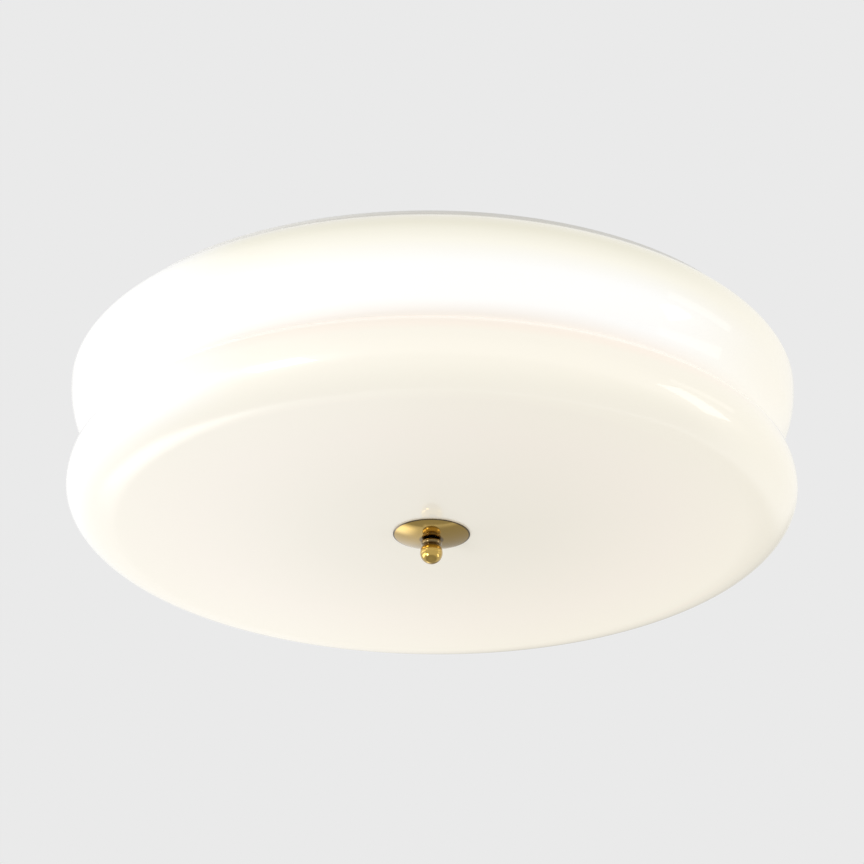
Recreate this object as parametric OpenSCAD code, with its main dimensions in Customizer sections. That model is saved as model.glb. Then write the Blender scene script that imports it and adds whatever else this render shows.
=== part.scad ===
// Flush ceiling light: a two-tier opal glass shade, carried on a centre rod by a
// small brass cap and knob, under a white steel pan with three lampholders.
// Millimetres. The ceiling is the plane z = 0 and the light hangs below it.

/* [Glass shade] */
// Widest diameter of both tiers
shade_d = 400; // [380:1:430]
// Ceiling to the underside of the glass
hang_h = 99; // [96:0.5:110]
// Thickness of the glass
glass_t = 4; // [3:0.1:4.5]
// Distance between the widest planes of the two tiers
tier_pitch = 60; // [54:0.5:62]
// Width of the round corner under the lower tier
corner_w = 30; // [24:0.5:45]
// Height of the round corner under the lower tier
corner_h = 20.5; // [18:0.5:24]
// Width of the lower tier's shoulder
shoulder_w = 6; // [5.5:0.1:9]
// Height of the lower tier's shoulder
shoulder_h = 13; // [11:0.5:15]
// How far the upper tier draws in below its widest plane
under_w = 12; // [9:0.5:14]
// Height over which it draws in
under_h = 25; // [22:0.5:27]
// Width of the upper tier's round top
top_w = 39; // [34:0.5:48]
// Height of the upper tier's round top
top_h = 21; // [20:0.5:24]
// How hard the groove between the tiers is drawn in from below
waist_pull_low = 10; // [7:0.5:12]
// How hard the groove between the tiers is drawn in from above
waist_pull_high = 16; // [12:0.5:18]
// Gap between the ceiling and the ground rim of the glass
rim_drop = 4.4; // [4.2:0.1:6]
// Diameter of the hole in the middle of the glass
glass_hole_d = 14; // [12:0.5:18]

/* [Pan] */
// Sheet thickness of the pan
pan_t = 1; // [0.8:0.1:1.2]
// Depth of the pan
pan_depth = 22; // [21:0.5:26]
// How far the pan's edge stands inside the rim of the glass
pan_set_in = 3.9; // [3:0.1:5]
// Radial gap between the pan's wall and the rim of the glass
pan_wall_gap = 1.5; // [1:0.1:3]
// Round where the pan's wall meets its floor
pan_round = 6; // [4:0.5:8]
// Thickness of the gasket under the pan's flange
rim_gasket_t = 0.7; // [0.5:0.1:0.8]
// Width of the gasket
rim_gasket_w = 3; // [2:0.1:4]

/* [Ceiling bracket] */
// Width of the bracket strap
strap_w = 22; // [18:1:26]
// Thickness of the strap
strap_t = 2; // [1.5:0.1:2.5]
// How far its middle is stepped down from the ceiling
strap_drop = 7; // [6.5:0.1:8]
// Length of each foot
foot_len = 25; // [22:1:35]
// Distance between the two ceiling slots
slot_spacing = 120; // [112:1:150]
// Width of a ceiling slot
slot_w = 5.2; // [4.2:0.1:6.5]
// End-to-end length of a ceiling slot
slot_len = 14; // [10:1:16]
// Distance between the two pan screws
stud_spacing = 76; // [72:1:84]
// Thread diameter of the pan screws
stud_d = 4; // [3.5:0.1:5]
// Length of a pan screw below its head
stud_len = 26; // [22:1:32]
// Diameter of a thumb nut
thumb_d = 11; // [9:0.5:12]
// Height of a thumb nut
thumb_h = 8; // [6:0.5:10]

/* [Centre rod] */
// Thread diameter of the centre rod
rod_d = 6; // [5:0.5:6.5]
// Width across flats of the rod's nuts
nut_af = 10; // [9:0.5:11]
// Height of a full nut
nut_h = 5; // [4:0.1:5.5]
// Height of a thin nut
thin_nut_h = 3.2; // [2.7:0.1:3.5]
// Outer diameter of the washer under the pan
pan_washer_d = 12; // [11.5:0.1:13]
// Thickness of a steel washer
washer_t = 1.2; // [0.8:0.1:1.6]
// Outer diameter of the soft washers on the glass
soft_washer_d = 24; // [18:0.5:26]
// Thickness of the soft washer inside the glass
soft_washer_t = 1.5; // [1:0.1:2.5]

/* [Finial] */
// Diameter of the brass cap
cap_d = 42.4; // [36:0.2:50]
// Height of the cap's dome
cap_sag = 3.6; // [3.3:0.1:6]
// Sheet thickness of the cap
cap_t = 1; // [0.8:0.1:1.2]
// Gap between the glass and the rim of the cap
cap_gap = 0.6; // [0.4:0.1:1]
// Diameter of the bead round the knob
bead_d = 11.4; // [10.8:0.1:13]
// Height of the bead
bead_h = 3; // [2.4:0.1:3.4]
// Diameter of the knob's ball
ball_d = 12.4; // [11.5:0.1:15]
// Height from the top of the knob to the centre of its ball
ball_drop = 7.3; // [6.8:0.1:9]
// How far the rod is screwed into the knob
knob_grip = 8; // [6:0.5:8.5]

/* [Lamps] */
// Direction of the first lamp, counted from the x axis, in degrees
first_lamp_angle = 60; // [55:1:65]
// Depth of the lamp axes below the ceiling
lamp_drop = 57; // [55:0.5:60]
// Distance from the middle of the light to the lampholder brackets
lamp_start = 22; // [21:0.5:25]
// Outer diameter of a lampholder
holder_d = 40; // [36:0.5:42]
// Length of the lampholder's rear dome
dome_len = 20.5; // [19:0.5:24]
// Length of the lampholder's front skirt
skirt_len = 27.5; // [26.5:0.5:30]
// Outer diameter of the bulb's screw cap
bulb_cap_d = 26.4; // [26.1:0.1:26.6]
// Length of the bulb's screw cap
bulb_cap_len = 23.5; // [22:0.5:25]
// Height of the contact tip beyond the screw cap
bulb_tip_h = 3; // [2.5:0.1:4]
// Diameter of the bulb's globe
globe_d = 60; // [50:0.5:62]
// Overall length of a bulb
bulb_len = 108; // [100:0.5:112]
// Wall of the bulb's diffuser
globe_t = 1.5; // [1:0.1:2]
// Width of a lampholder bracket
lamp_bracket_w = 22; // [18:1:22]
// Thickness of a lampholder bracket
lamp_bracket_t = 1.5; // [1.2:0.1:2]
// Length of a lampholder bracket's foot
lamp_foot_len = 28; // [24:1:32]

/* [Wiring] */
// Diameter of a lampholder lead
lead_d = 4.6; // [3.6:0.1:4.8]
// Distance from the middle of the light to each grommet
grommet_r = 14; // [13.5:0.1:14.5]
// Width of the terminal block across its three poles
block_w = 27; // [24:0.5:30]
// Length of the terminal block
block_len = 20; // [18:0.5:24]
// Height of the terminal block
block_h = 13; // [11:0.5:14]
// Bore of a terminal
terminal_bore = 3.6; // [2.6:0.1:4]
// Distance from the middle of the light to the earth screw
earth_x = 60; // [55:1:64]

/* [Clearances] */
// Radial gap of a screw in its plain hole
hole_gap = 0.3; // [0.2:0.05:0.5]
// Radial gap between the rod and the knob's thread
thread_gap = 0.05; // [0.02:0.01:0.1]
// Gap between soft and hard faces that meet
seat_gap = 0.2; // [0.1:0.05:0.3]

/* [Hidden] */
$fn = 96;
lamp_count = 3;
lamp_step = 360 / lamp_count;
line_steps = 14;
shade_r = shade_d / 2;
low_z = corner_h - hang_h;
high_z = low_z + tier_pitch;
rim_rise = -rim_drop - high_z;
// The round top is cut where it is still steep; a straight band takes any height left below it
top_cut = 0.75;
round_rise = min(rim_rise, top_cut * top_h);
band_top = high_z + rim_rise - round_rise;
rim_out = rim_radius(0);
rim_in = rim_radius(glass_t);
pan_r = rim_out - pan_set_in;
// The pan's wall clears the rim of the glass and leaves the gasket its room on the flange
gasket_margin = 1.5;
wall_r = min(rim_in - pan_wall_gap, pan_r - rim_gasket_w - 2 * gasket_margin);
rim_gap = 0.3;
flange_z = -rim_drop + rim_gasket_t + rim_gap;
floor_z = -pan_depth;
rod_r = rod_d / 2;
rod_hole_r = rod_r + hole_gap;
strap_under = -strap_drop - strap_t;
cap_rim_z = -hang_h - cap_gap;
cap_pole_z = cap_rim_z - cap_sag;
knob_top = cap_pole_z - seat_gap;
rod_bottom = knob_top - knob_grip;
rod_end = 1.2;
rod_top = -strap_drop + thin_nut_h + rod_end;
glass_in_z = -hang_h + glass_t;
// The lamps hang at their depth, and higher where the bulbs would come near the glass
globe_gap = 2;
lamp_z = -min(lamp_drop, hang_h - glass_t - globe_d / 2 - globe_gap);
holder_start = lamp_start + lamp_bracket_t;
skirt_start = holder_start + dome_len;
skirt_end = skirt_start + skirt_len;
contact_t = 1;
contact_end = skirt_start + 2 * contact_t;
tip_start = contact_end + seat_gap;
shell_t = 0.6;
shell_gap = 0.4;
shell_in_r = bulb_cap_d / 2 + shell_gap;
shell_out_r = shell_in_r + shell_t;
skirt_bore_r = shell_out_r + seat_gap / 2;
nipple_r = 5;
nipple_bore_r = 3.5;
nipple_nut_af = 14;
nipple_nut_h = 3;
small_nut_af = 7;
contact_r = 4;
block_x = 22;
sleeve_from = 5;
sleeve_sink = 1;
clamp_x = 14;
pole_pitch = block_w / 3;
block_base = floor_z + pan_t;
bore_z = block_base + block_h / 2;
screw_r = 1.5;

// Points along an arc of an ellipse
function arc_points(x, y, rx, ry, from, to, steps) = [
    for (i = [0:steps])
        let (a = from + (to - from) * i / steps)
        [x + rx * cos(a), y + ry * sin(a)]
];

// Points inside a cubic curve, without its two ends
function curve_points(p, steps) = [
    for (i = [1:steps - 1])
        let (t = i / steps, u = 1 - t)
        u * u * u * p[0] + 3 * u * u * t * p[1] + 3 * u * t * t * p[2] + t * t * t * p[3]
];

// Radius of the glass at its rim, on the face that lies t inside the outer one
function rim_radius(t) = shade_r - top_w + (top_w - t) * sqrt(1 - pow(round_rise / (top_h - t), 2));

// Half outline of the shade, from the middle of the bottom up to the rim.
// t is how far the face lies inside the outer one.
shoulder_end = 80;
under_end = 50;
function shoulder_tip(t) = [
    shade_r - shoulder_w + (shoulder_w - t) * cos(shoulder_end),
    low_z + (shoulder_h - t) * sin(shoulder_end)
];
function shoulder_way(t) =
    let (d = [-(shoulder_w - t) * sin(shoulder_end), (shoulder_h - t) * cos(shoulder_end)])
    d / norm(d);
function under_tip(t) = [
    shade_r - under_w + (under_w - t) * cos(under_end),
    high_z - (under_h - t) * sin(under_end)
];
function under_way(t) =
    let (d = [(under_w - t) * sin(under_end), (under_h - t) * cos(under_end)])
    d / norm(d);
function waist_points(t) = curve_points([
    shoulder_tip(t),
    shoulder_tip(t) + (waist_pull_low + 2 * t) * shoulder_way(t),
    under_tip(t) - (waist_pull_high + t) * under_way(t),
    under_tip(t)
], line_steps);
function shade_line(t) = concat(
    [[glass_hole_d / 2, t - hang_h]],
    arc_points(shade_r - corner_w, low_z, corner_w - t, corner_h - t, -90, 0, line_steps),
    arc_points(shade_r - shoulder_w, low_z, shoulder_w - t, shoulder_h - t, 6, shoulder_end, 8),
    waist_points(t),
    arc_points(shade_r - under_w, high_z, under_w - t, under_h - t, -under_end, 0, 8),
    arc_points(shade_r - top_w, band_top, top_w - t, top_h - t, 3, asin(round_rise / (top_h - t)), 8)
);
function reversed(list) = [for (i = [len(list) - 1:-1:0]) list[i]];

// A round tube swept along a smooth curve through the points of a route
route_steps = 6;
function spline(a, b, c, d, t) =
    0.5 * (2 * b + (c - a) * t + (2 * a - 5 * b + 4 * c - d) * t * t
    + (3 * b - a - 3 * c + d) * t * t * t);
function route_path(p) = concat(
    [
        for (i = [0:len(p) - 2], k = [0:route_steps - 1])
            spline(p[max(i - 1, 0)], p[i], p[i + 1], p[min(i + 2, len(p) - 1)], k / route_steps)
    ],
    [p[len(p) - 1]]
);
function heading(path, i) =
    let (d = path[min(i + 1, len(path) - 1)] - path[max(i - 1, 0)])
    d / norm(d);
function turned(v, d) =
    let (s = v - (v * d) * d)
    s / norm(s);
function sides(path, i = 0, v = [0, 0, 0], list = []) =
    i == len(path) ? list :
    let (s = turned(i == 0 ? cross(heading(path, 0), [0.3, 1, 0.2]) : v, heading(path, i)))
    sides(path, i + 1, s, concat(list, [s]));
module tube(path, r, n) {
    side = sides(path);
    points = [
        for (i = [0:len(path) - 1], k = [0:n - 1])
            let (other = cross(heading(path, i), side[i]), a = 360 * k / n)
            path[i] + r * cos(a) * side[i] + r * sin(a) * other
    ];
    last = len(path) - 1;
    walls = [
        for (i = [0:last - 1], k = [0:n - 1])
            let (a = i * n + k, b = i * n + (k + 1) % n)
            [b, a, a + n]
    ];
    more_walls = [
        for (i = [0:last - 1], k = [0:n - 1])
            let (a = i * n + k, b = i * n + (k + 1) % n)
            [b, a + n, b + n]
    ];
    start_cap = [for (k = [1:n - 2]) [0, k, k + 1]];
    end_cap = [for (k = [1:n - 2]) [last * n, last * n + k + 1, last * n + k]];
    polyhedron(points, concat(walls, more_walls, start_cap, end_cap));
}

// A flat ring, a hexagon nut and a plain disc on the z axis
module ring(z, h, outer, inner) {
    translate([0, 0, z]) difference() {
        cylinder(h = h, r = outer);
        translate([0, 0, -1]) cylinder(h = h + 2, r = inner);
    }
}
module hex_nut(z, h, af, inner) {
    translate([0, 0, z]) difference() {
        cylinder(h = h, d = af / cos(30), $fn = 6);
        translate([0, 0, -1]) cylinder(h = h + 2, r = inner);
    }
}

// Turns local z into the outward direction of lamp i, at the lamps' height
function lamp_angle(i) = first_lamp_angle + lamp_step * (i - 1);
module along_lamp(i) {
    rotate([0, 0, lamp_angle(i)]) translate([0, 0, lamp_z]) rotate([0, 90, 0]) children();
}
module at_lamp(i) {
    rotate([0, 0, lamp_angle(i)]) children();
}

module glass_shade() {
    color([0.97, 0.96, 0.92]) rotate_extrude($fn = 180)
        polygon(concat(shade_line(0), reversed(shade_line(glass_t))));
}

module rim_gasket() {
    middle = (wall_r + pan_r) / 2;
    color([0.9, 0.9, 0.88])
        ring(flange_z - rim_gasket_t, rim_gasket_t, middle + rim_gasket_w / 2, middle - rim_gasket_w / 2);
}

// Soft tube that keeps the rod off the edge of the hole in the glass
module hole_sleeve() {
    color([0.85, 0.85, 0.82])
        ring(-hang_h, glass_t, glass_hole_d / 2 - seat_gap, rod_hole_r);
}

// Soft washer between the cap and the glass
cap_washer_r = soft_washer_d / 2 - 2;
cap_in_r = sphere_radius(cap_sag - cap_t);
function sphere_radius(sag) = (pow(cap_d / 2, 2) + sag * sag) / (2 * sag);
cap_in_z = cap_pole_z + cap_t + cap_in_r;
module glass_washer() {
    low = cap_in_z - sqrt(cap_in_r * cap_in_r - cap_washer_r * cap_washer_r) + seat_gap;
    top = -hang_h - seat_gap;
    color([0.85, 0.85, 0.82]) ring(low, top - low, cap_washer_r, rod_hole_r);
}

module inner_washer() {
    color([0.85, 0.85, 0.82])
        ring(glass_in_z + seat_gap, soft_washer_t, soft_washer_d / 2, rod_hole_r);
}

inner_plate_z = glass_in_z + seat_gap + soft_washer_t;
module inner_plate() {
    color("silver") ring(inner_plate_z, washer_t, soft_washer_d / 2 - 2, rod_hole_r);
}

module stop_nut() {
    color("silver") hex_nut(inner_plate_z + washer_t, nut_h, nut_af, rod_r);
}

// Thin domed dish of polished brass, open towards the glass
module finial_cap() {
    out_r = sphere_radius(cap_sag);
    out_half = asin(cap_d / 2 / out_r);
    in_half = asin(cap_d / 2 / cap_in_r);
    color([0.72, 0.6, 0.3]) rotate_extrude($fn = 120) polygon(concat(
        [
            for (i = [0:line_steps])
                let (a = asin(rod_hole_r / out_r) + (out_half - asin(rod_hole_r / out_r)) * i / line_steps)
                [out_r * sin(a), cap_pole_z + out_r - out_r * cos(a)]
        ],
        [
            for (i = [0:line_steps])
                let (a = in_half + (asin(rod_hole_r / cap_in_r) - in_half) * i / line_steps)
                [(i == 0 ? cap_d / 2 - cap_t / 2 : cap_in_r * sin(a) - (i < line_steps ? 0.01 : 0)),
                 cap_in_z - cap_in_r * cos(a)]
        ]
    ));
}

// Turned brass knob: a bead, a groove and a ball, with a blind threaded bore
module finial_knob() {
    bead_r = bead_h / 2;
    bead_core = bead_d / 2 - bead_r;
    color([0.75, 0.62, 0.3]) difference() {
        union() {
            translate([0, 0, knob_top - bead_h]) cylinder(h = bead_h, r = bead_core);
            translate([0, 0, knob_top - bead_r]) rotate_extrude() translate([bead_core, 0]) circle(r = bead_r);
            translate([0, 0, knob_top - ball_drop]) sphere(d = ball_d);
        }
        translate([0, 0, rod_bottom - 0.5]) cylinder(h = knob_grip + 1.5, r = rod_r + thread_gap);
    }
}

module centre_rod() {
    chamfer = 0.6;
    color("silver") {
        translate([0, 0, rod_bottom + chamfer]) cylinder(h = rod_top - rod_bottom - chamfer, r = rod_r);
        translate([0, 0, rod_bottom]) cylinder(h = chamfer, r1 = rod_r - chamfer, r2 = rod_r);
    }
}

module bracket_nuts() {
    color("silver") {
        hex_nut(-strap_drop, thin_nut_h, nut_af, rod_r);
        hex_nut(strap_under - thin_nut_h, thin_nut_h, nut_af, rod_r);
    }
}

module pan_washer() {
    color("silver") ring(floor_z - washer_t, washer_t, pan_washer_d / 2, rod_hole_r);
}

module pan_nut() {
    color("silver") hex_nut(floor_z - washer_t - nut_h, nut_h, nut_af, rod_r);
}

// Steel strap with its middle stepped down to leave room for screw heads
module mounting_bracket() {
    foot_end = slot_spacing / 2 + foot_len / 2;
    foot_start = slot_spacing / 2 - foot_len / 2;
    color([0.75, 0.76, 0.78]) difference() {
        translate([-strap_w / 2, 0, 0]) rotate([90, 0, 90]) linear_extrude(height = strap_w) polygon([
            [-foot_end, 0], [-foot_start, 0], [-foot_start, -strap_drop], [foot_start, -strap_drop],
            [foot_start, 0], [foot_end, 0], [foot_end, -strap_t], [foot_start + strap_t, -strap_t],
            [foot_start + strap_t, strap_under], [-foot_start - strap_t, strap_under],
            [-foot_start - strap_t, -strap_t], [-foot_end, -strap_t]
        ]);
        for (side = [-1, 1]) {
            translate([0, side * slot_spacing / 2, -strap_t - 1]) slot();
            translate([0, side * stud_spacing / 2, strap_under - 1])
                cylinder(h = strap_t + 2, d = stud_d + 2 * hole_gap);
        }
        translate([0, 0, strap_under - 1]) cylinder(h = strap_t + 2, r = rod_hole_r);
    }
}
module slot() {
    run = slot_len - slot_w;
    linear_extrude(height = strap_t + 2) {
        square([slot_w, run], center = true);
        for (side = [-1, 1]) translate([0, side * run / 2]) circle(d = slot_w);
    }
}

// The pan screws hang from the bracket and pass through the pan
module pan_screws() {
    head_h = 2.4;
    color("silver") for (side = [-1, 1]) translate([0, side * stud_spacing / 2, 0]) difference() {
        union() {
            translate([0, 0, -strap_drop]) cylinder(h = head_h, d = 2 * stud_d);
            translate([0, 0, -strap_drop - stud_len]) cylinder(h = stud_len + 1, d = stud_d);
        }
        translate([-0.5, -stud_d, head_h - strap_drop - 1]) cube([1, 2 * stud_d, 2]);
    }
}

module screw_washers() {
    color("silver") for (side = [-1, 1]) translate([0, side * stud_spacing / 2, 0])
        ring(floor_z - washer_t, washer_t, stud_d / 2 + 2.5, stud_d / 2 + hole_gap);
}

// Knurled nuts: a plain collar on a grooved grip
module thumb_nuts() {
    grooves = 20;
    collar_h = 2;
    top = floor_z - washer_t;
    color([0.78, 0.78, 0.76]) for (side = [-1, 1]) translate([0, side * stud_spacing / 2, 0])
        difference() {
            union() {
                translate([0, 0, top - collar_h]) cylinder(h = collar_h, d = thumb_d - 2);
                translate([0, 0, top - thumb_h]) cylinder(h = thumb_h - collar_h, d = thumb_d);
            }
            translate([0, 0, top - thumb_h - 1]) cylinder(h = thumb_h + 2, d = stud_d);
            for (k = [0:grooves - 1]) rotate([0, 0, 360 * k / grooves])
                translate([thumb_d / 2, 0, top - thumb_h - 1]) cylinder(h = thumb_h - collar_h + 1, d = 0.8);
        }
}

// Spun steel tray, open towards the ceiling, with a flange over the glass rim
module ceiling_pan() {
    bend = 1;
    color([0.92, 0.92, 0.9]) difference() {
        rotate_extrude($fn = 180) polygon(concat(
            [[0, floor_z]],
            arc_points(wall_r - pan_round, floor_z + pan_round, pan_round, pan_round, -90, 0, 8),
            [[wall_r, flange_z]],
            arc_points(pan_r - bend, flange_z + bend, bend, bend, -90, 0, 4),
            [[pan_r, 0], [pan_r - pan_t, 0], [pan_r - pan_t, flange_z + pan_t]],
            [[wall_r - pan_t, flange_z + pan_t]],
            arc_points(wall_r - pan_round, floor_z + pan_round, pan_round - pan_t, pan_round - pan_t, 0, -90, 8),
            [[0, floor_z + pan_t]]
        ));
        pan_hole(0, 0, rod_hole_r);
        for (side = [-1, 1]) pan_hole(0, side * stud_spacing / 2, stud_d / 2 + hole_gap);
        pan_hole(earth_x, 0, stud_d / 2 + hole_gap);
        for (i = [1:lamp_count]) at_lamp(i) {
            pan_hole(grommet_r, 0, grommet_neck_r + seat_gap / 2);
            for (u = foot_screws) pan_hole(u, 0, screw_r + hole_gap / 3);
        }
    }
}
module pan_hole(x, y, r) {
    translate([x, y, floor_z - 1]) cylinder(h = pan_t + 2, r = r);
}

// Three-pole block: brass sleeves in a plastic body, clamped by screws from above
module terminal_block() {
    sleeve_r = terminal_bore / 2 + 0.7;
    color([0.93, 0.93, 0.9]) difference() {
        translate([block_x, -block_w / 2, block_base]) cube([block_len, block_w, block_h]);
        for (k = [-1:1]) {
            translate([block_x + sleeve_from, k * pole_pitch, bore_z]) rotate([0, 90, 0])
                cylinder(h = block_len, r = sleeve_r + seat_gap / 2);
            translate([block_x + clamp_x, k * pole_pitch, bore_z])
                cylinder(h = block_h, r = screw_r + seat_gap / 2);
        }
        for (k = [-0.5, 0.5]) translate([block_x - 1, k * pole_pitch - 0.6, bore_z + 3])
            cube([block_len + 2, 1.2, block_h]);
    }
}

module terminal_sleeves() {
    sleeve_r = terminal_bore / 2 + 0.7;
    color([0.75, 0.62, 0.3]) for (k = [-1:1])
        translate([block_x + sleeve_from + seat_gap, k * pole_pitch, bore_z]) rotate([0, 90, 0])
            difference() {
                cylinder(h = block_len - sleeve_from - sleeve_sink - seat_gap, r = sleeve_r);
                translate([0, 0, 1]) cylinder(h = block_len, d = terminal_bore);
            }
}

module terminal_screws() {
    low = bore_z + terminal_bore / 2 + 0.7 + seat_gap;
    top = block_base + block_h - 0.5;
    color("silver") for (k = [-1:1]) translate([block_x + clamp_x, k * pole_pitch, low])
        difference() {
            cylinder(h = top - low, r = screw_r);
            translate([-screw_r, -0.3, top - low - 0.8]) cube([2 * screw_r, 0.6, 2]);
        }
}

module earth_screw() {
    head_h = 2.4;
    color("silver") translate([earth_x, 0, 0]) difference() {
        union() {
            translate([0, 0, block_base]) cylinder(h = head_h, d = 2 * stud_d);
            translate([0, 0, floor_z - 5]) cylinder(h = 5 + pan_t + 1, d = stud_d);
        }
        translate([-0.5, -stud_d, block_base + head_h - 1]) cube([1, 2 * stud_d, 2]);
    }
}

module earth_nut() {
    color("silver") translate([earth_x, 0, 0])
        hex_nut(floor_z - thin_nut_h, thin_nut_h, small_nut_af, stud_d / 2);
}

// Rubber grommets where the lampholder leads pass through the pan
lead_gap = 0.9;
grommet_wall = 1;
grommet_neck_r = lead_d / 2 + lead_gap + grommet_wall;
grommet_lip = 1.4;
module wire_grommets() {
    lip_h = 1.1;
    color([0.2, 0.2, 0.2]) for (i = [1:lamp_count]) at_lamp(i) translate([grommet_r, 0, 0])
        difference() {
            union() {
                translate([0, 0, floor_z]) cylinder(h = pan_t, r = grommet_neck_r);
                for (z = [floor_z - lip_h, floor_z + pan_t]) translate([0, 0, z])
                    cylinder(h = lip_h, r = grommet_neck_r + grommet_lip);
            }
            translate([0, 0, floor_z - lip_h - 1]) cylinder(h = pan_t + 2 * lip_h + 2, r = lead_d / 2 + lead_gap);
        }
}

// Angle bracket that carries a lampholder under the pan
foot_screws = [lamp_start + 0.4 * lamp_foot_len, lamp_start + 0.8 * lamp_foot_len];
module holder_bracket(i) {
    plate_end = lamp_z - nipple_r - 5;
    color([0.75, 0.76, 0.78]) at_lamp(i) difference() {
        union() {
            translate([lamp_start, -lamp_bracket_w / 2, floor_z - lamp_bracket_t])
                cube([lamp_foot_len, lamp_bracket_w, lamp_bracket_t]);
            translate([lamp_start, -lamp_bracket_w / 2, plate_end])
                cube([lamp_bracket_t, lamp_bracket_w, floor_z - plate_end]);
        }
        translate([lamp_start - 1, 0, lamp_z]) rotate([0, 90, 0])
            cylinder(h = lamp_bracket_t + 2, r = nipple_r + hole_gap / 2);
        for (u = foot_screws) translate([u, 0, floor_z - lamp_bracket_t - 1])
            cylinder(h = lamp_bracket_t + 2, r = screw_r + hole_gap / 3);
    }
}

module bracket_screws() {
    head_h = 1.8;
    color("silver") for (i = [1:lamp_count]) at_lamp(i) for (u = foot_screws)
        translate([u, 0, floor_z - lamp_bracket_t]) {
            translate([0, 0, -head_h]) cylinder(h = head_h, r = 2 * screw_r - 0.2);
            cylinder(h = lamp_bracket_t + pan_t + 2, r = screw_r);
        }
}

nipple_start = lamp_start - 4;
module holder_nipples() {
    color("silver") for (i = [1:lamp_count]) along_lamp(i)
        ring(nipple_start, holder_start + 5 - nipple_start, nipple_r, nipple_bore_r);
}

module nipple_nuts() {
    color("silver") for (i = [1:lamp_count]) along_lamp(i)
        hex_nut(lamp_start - nipple_nut_h, nipple_nut_h, nipple_nut_af, nipple_r);
}

// Rear part of a lampholder: a rounded cup screwed on the nipple
dome_wall = 2.5;
module holder_dome(i) {
    back = 4;
    r = holder_d / 2 - 1;
    color([0.93, 0.93, 0.91]) along_lamp(i) rotate_extrude() polygon(concat(
        [[nipple_r, holder_start]],
        arc_points(r - back, holder_start + back, back, back, -90, 0, 8),
        [[r, skirt_start], [r - dome_wall, skirt_start], [r - dome_wall, holder_start + back]],
        [[nipple_r + 2, holder_start + back], [nipple_r + 2, holder_start + back + 2]],
        [[nipple_r, holder_start + back + 2]]
    ));
}

// Front part of a lampholder, with the hollow that takes the bulb's cap
module holder_skirt(i) {
    edge = 1.2;
    r = holder_d / 2;
    color([0.95, 0.95, 0.93]) along_lamp(i) rotate_extrude() polygon(concat(
        [[0, skirt_start], [r, skirt_start]],
        arc_points(r - edge, skirt_end - edge, edge, edge, 0, 90, 4),
        [[skirt_bore_r, skirt_end], [skirt_bore_r, skirt_start + contact_t], [0, skirt_start + contact_t]]
    ));
}

module thread_shell(i) {
    color([0.8, 0.68, 0.35]) along_lamp(i)
        ring(contact_end + 2, skirt_end - contact_end - 3.5, shell_out_r, shell_in_r);
}

module centre_contacts() {
    color([0.8, 0.65, 0.35]) for (i = [1:lamp_count]) along_lamp(i)
        translate([0, 0, skirt_start + contact_t]) cylinder(h = contact_t, r = contact_r);
}

// Screw cap of a bulb, with its rolled thread as rings
thread_pitch = 3.62;
bulb_cap_start = tip_start + bulb_tip_h;
bulb_cap_end = bulb_cap_start + bulb_cap_len;
module bulb_cap(i) {
    wave = 0.6;
    turns = 5;
    first = bulb_cap_start + 2;
    r = bulb_cap_d / 2;
    color([0.82, 0.82, 0.84]) along_lamp(i) rotate_extrude() polygon(concat(
        [[0, bulb_cap_start], [r - 3, bulb_cap_start], [r - wave, first]],
        [
            for (k = [1:turns * 8])
                [r - wave + wave * (0.5 - 0.5 * cos(45 * k)), first + k * thread_pitch / 8]
        ],
        [[r - wave, bulb_cap_end], [0, bulb_cap_end]]
    ));
}

// Contact tip of a bulb on its insulating disc
module bulb_tip(i) {
    tip_r = 4.8;
    disc_r = 9;
    color([0.75, 0.75, 0.72]) along_lamp(i) {
        translate([0, 0, tip_start]) cylinder(h = bulb_tip_h / 2, r1 = tip_r * 2 / 3, r2 = tip_r);
        translate([0, 0, tip_start + bulb_tip_h / 2])
            cylinder(h = bulb_tip_h / 2 - 0.05, r1 = disc_r * 2 / 3, r2 = disc_r);
    }
}

// Tapered plastic body of a bulb, from its cap to the diffuser
globe_r = globe_d / 2;
globe_centre = tip_start + bulb_len - globe_r;
globe_cut = 36;
globe_base = globe_centre - globe_r * sin(globe_cut);
globe_base_r = globe_r * cos(globe_cut);
module bulb_housing(i) {
    neck_r = bulb_cap_d / 2 + 0.6;
    collar = 2;
    color([0.96, 0.96, 0.95]) along_lamp(i) rotate_extrude() polygon(concat(
        [[0, bulb_cap_end], [neck_r, bulb_cap_end], [neck_r, bulb_cap_end + collar]],
        curve_points([
            [neck_r, bulb_cap_end + collar],
            [neck_r, bulb_cap_end + collar + 8],
            [globe_base_r - 4, globe_base - 5.5],
            [globe_base_r, globe_base]
        ], 8),
        [[globe_base_r, globe_base], [0, globe_base]]
    ));
}

// Hollow opal diffuser of a bulb
module bulb_globe(i) {
    inner = globe_r - globe_t;
    inner_cut = asin(globe_r * sin(globe_cut) / inner);
    color([1, 0.98, 0.93]) along_lamp(i) rotate_extrude() polygon(concat(
        arc_points(0, globe_centre, globe_r, globe_r, -globe_cut, 90, 20),
        arc_points(0, globe_centre, inner, inner, 90, -inner_cut, 20)
    ));
}

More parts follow.
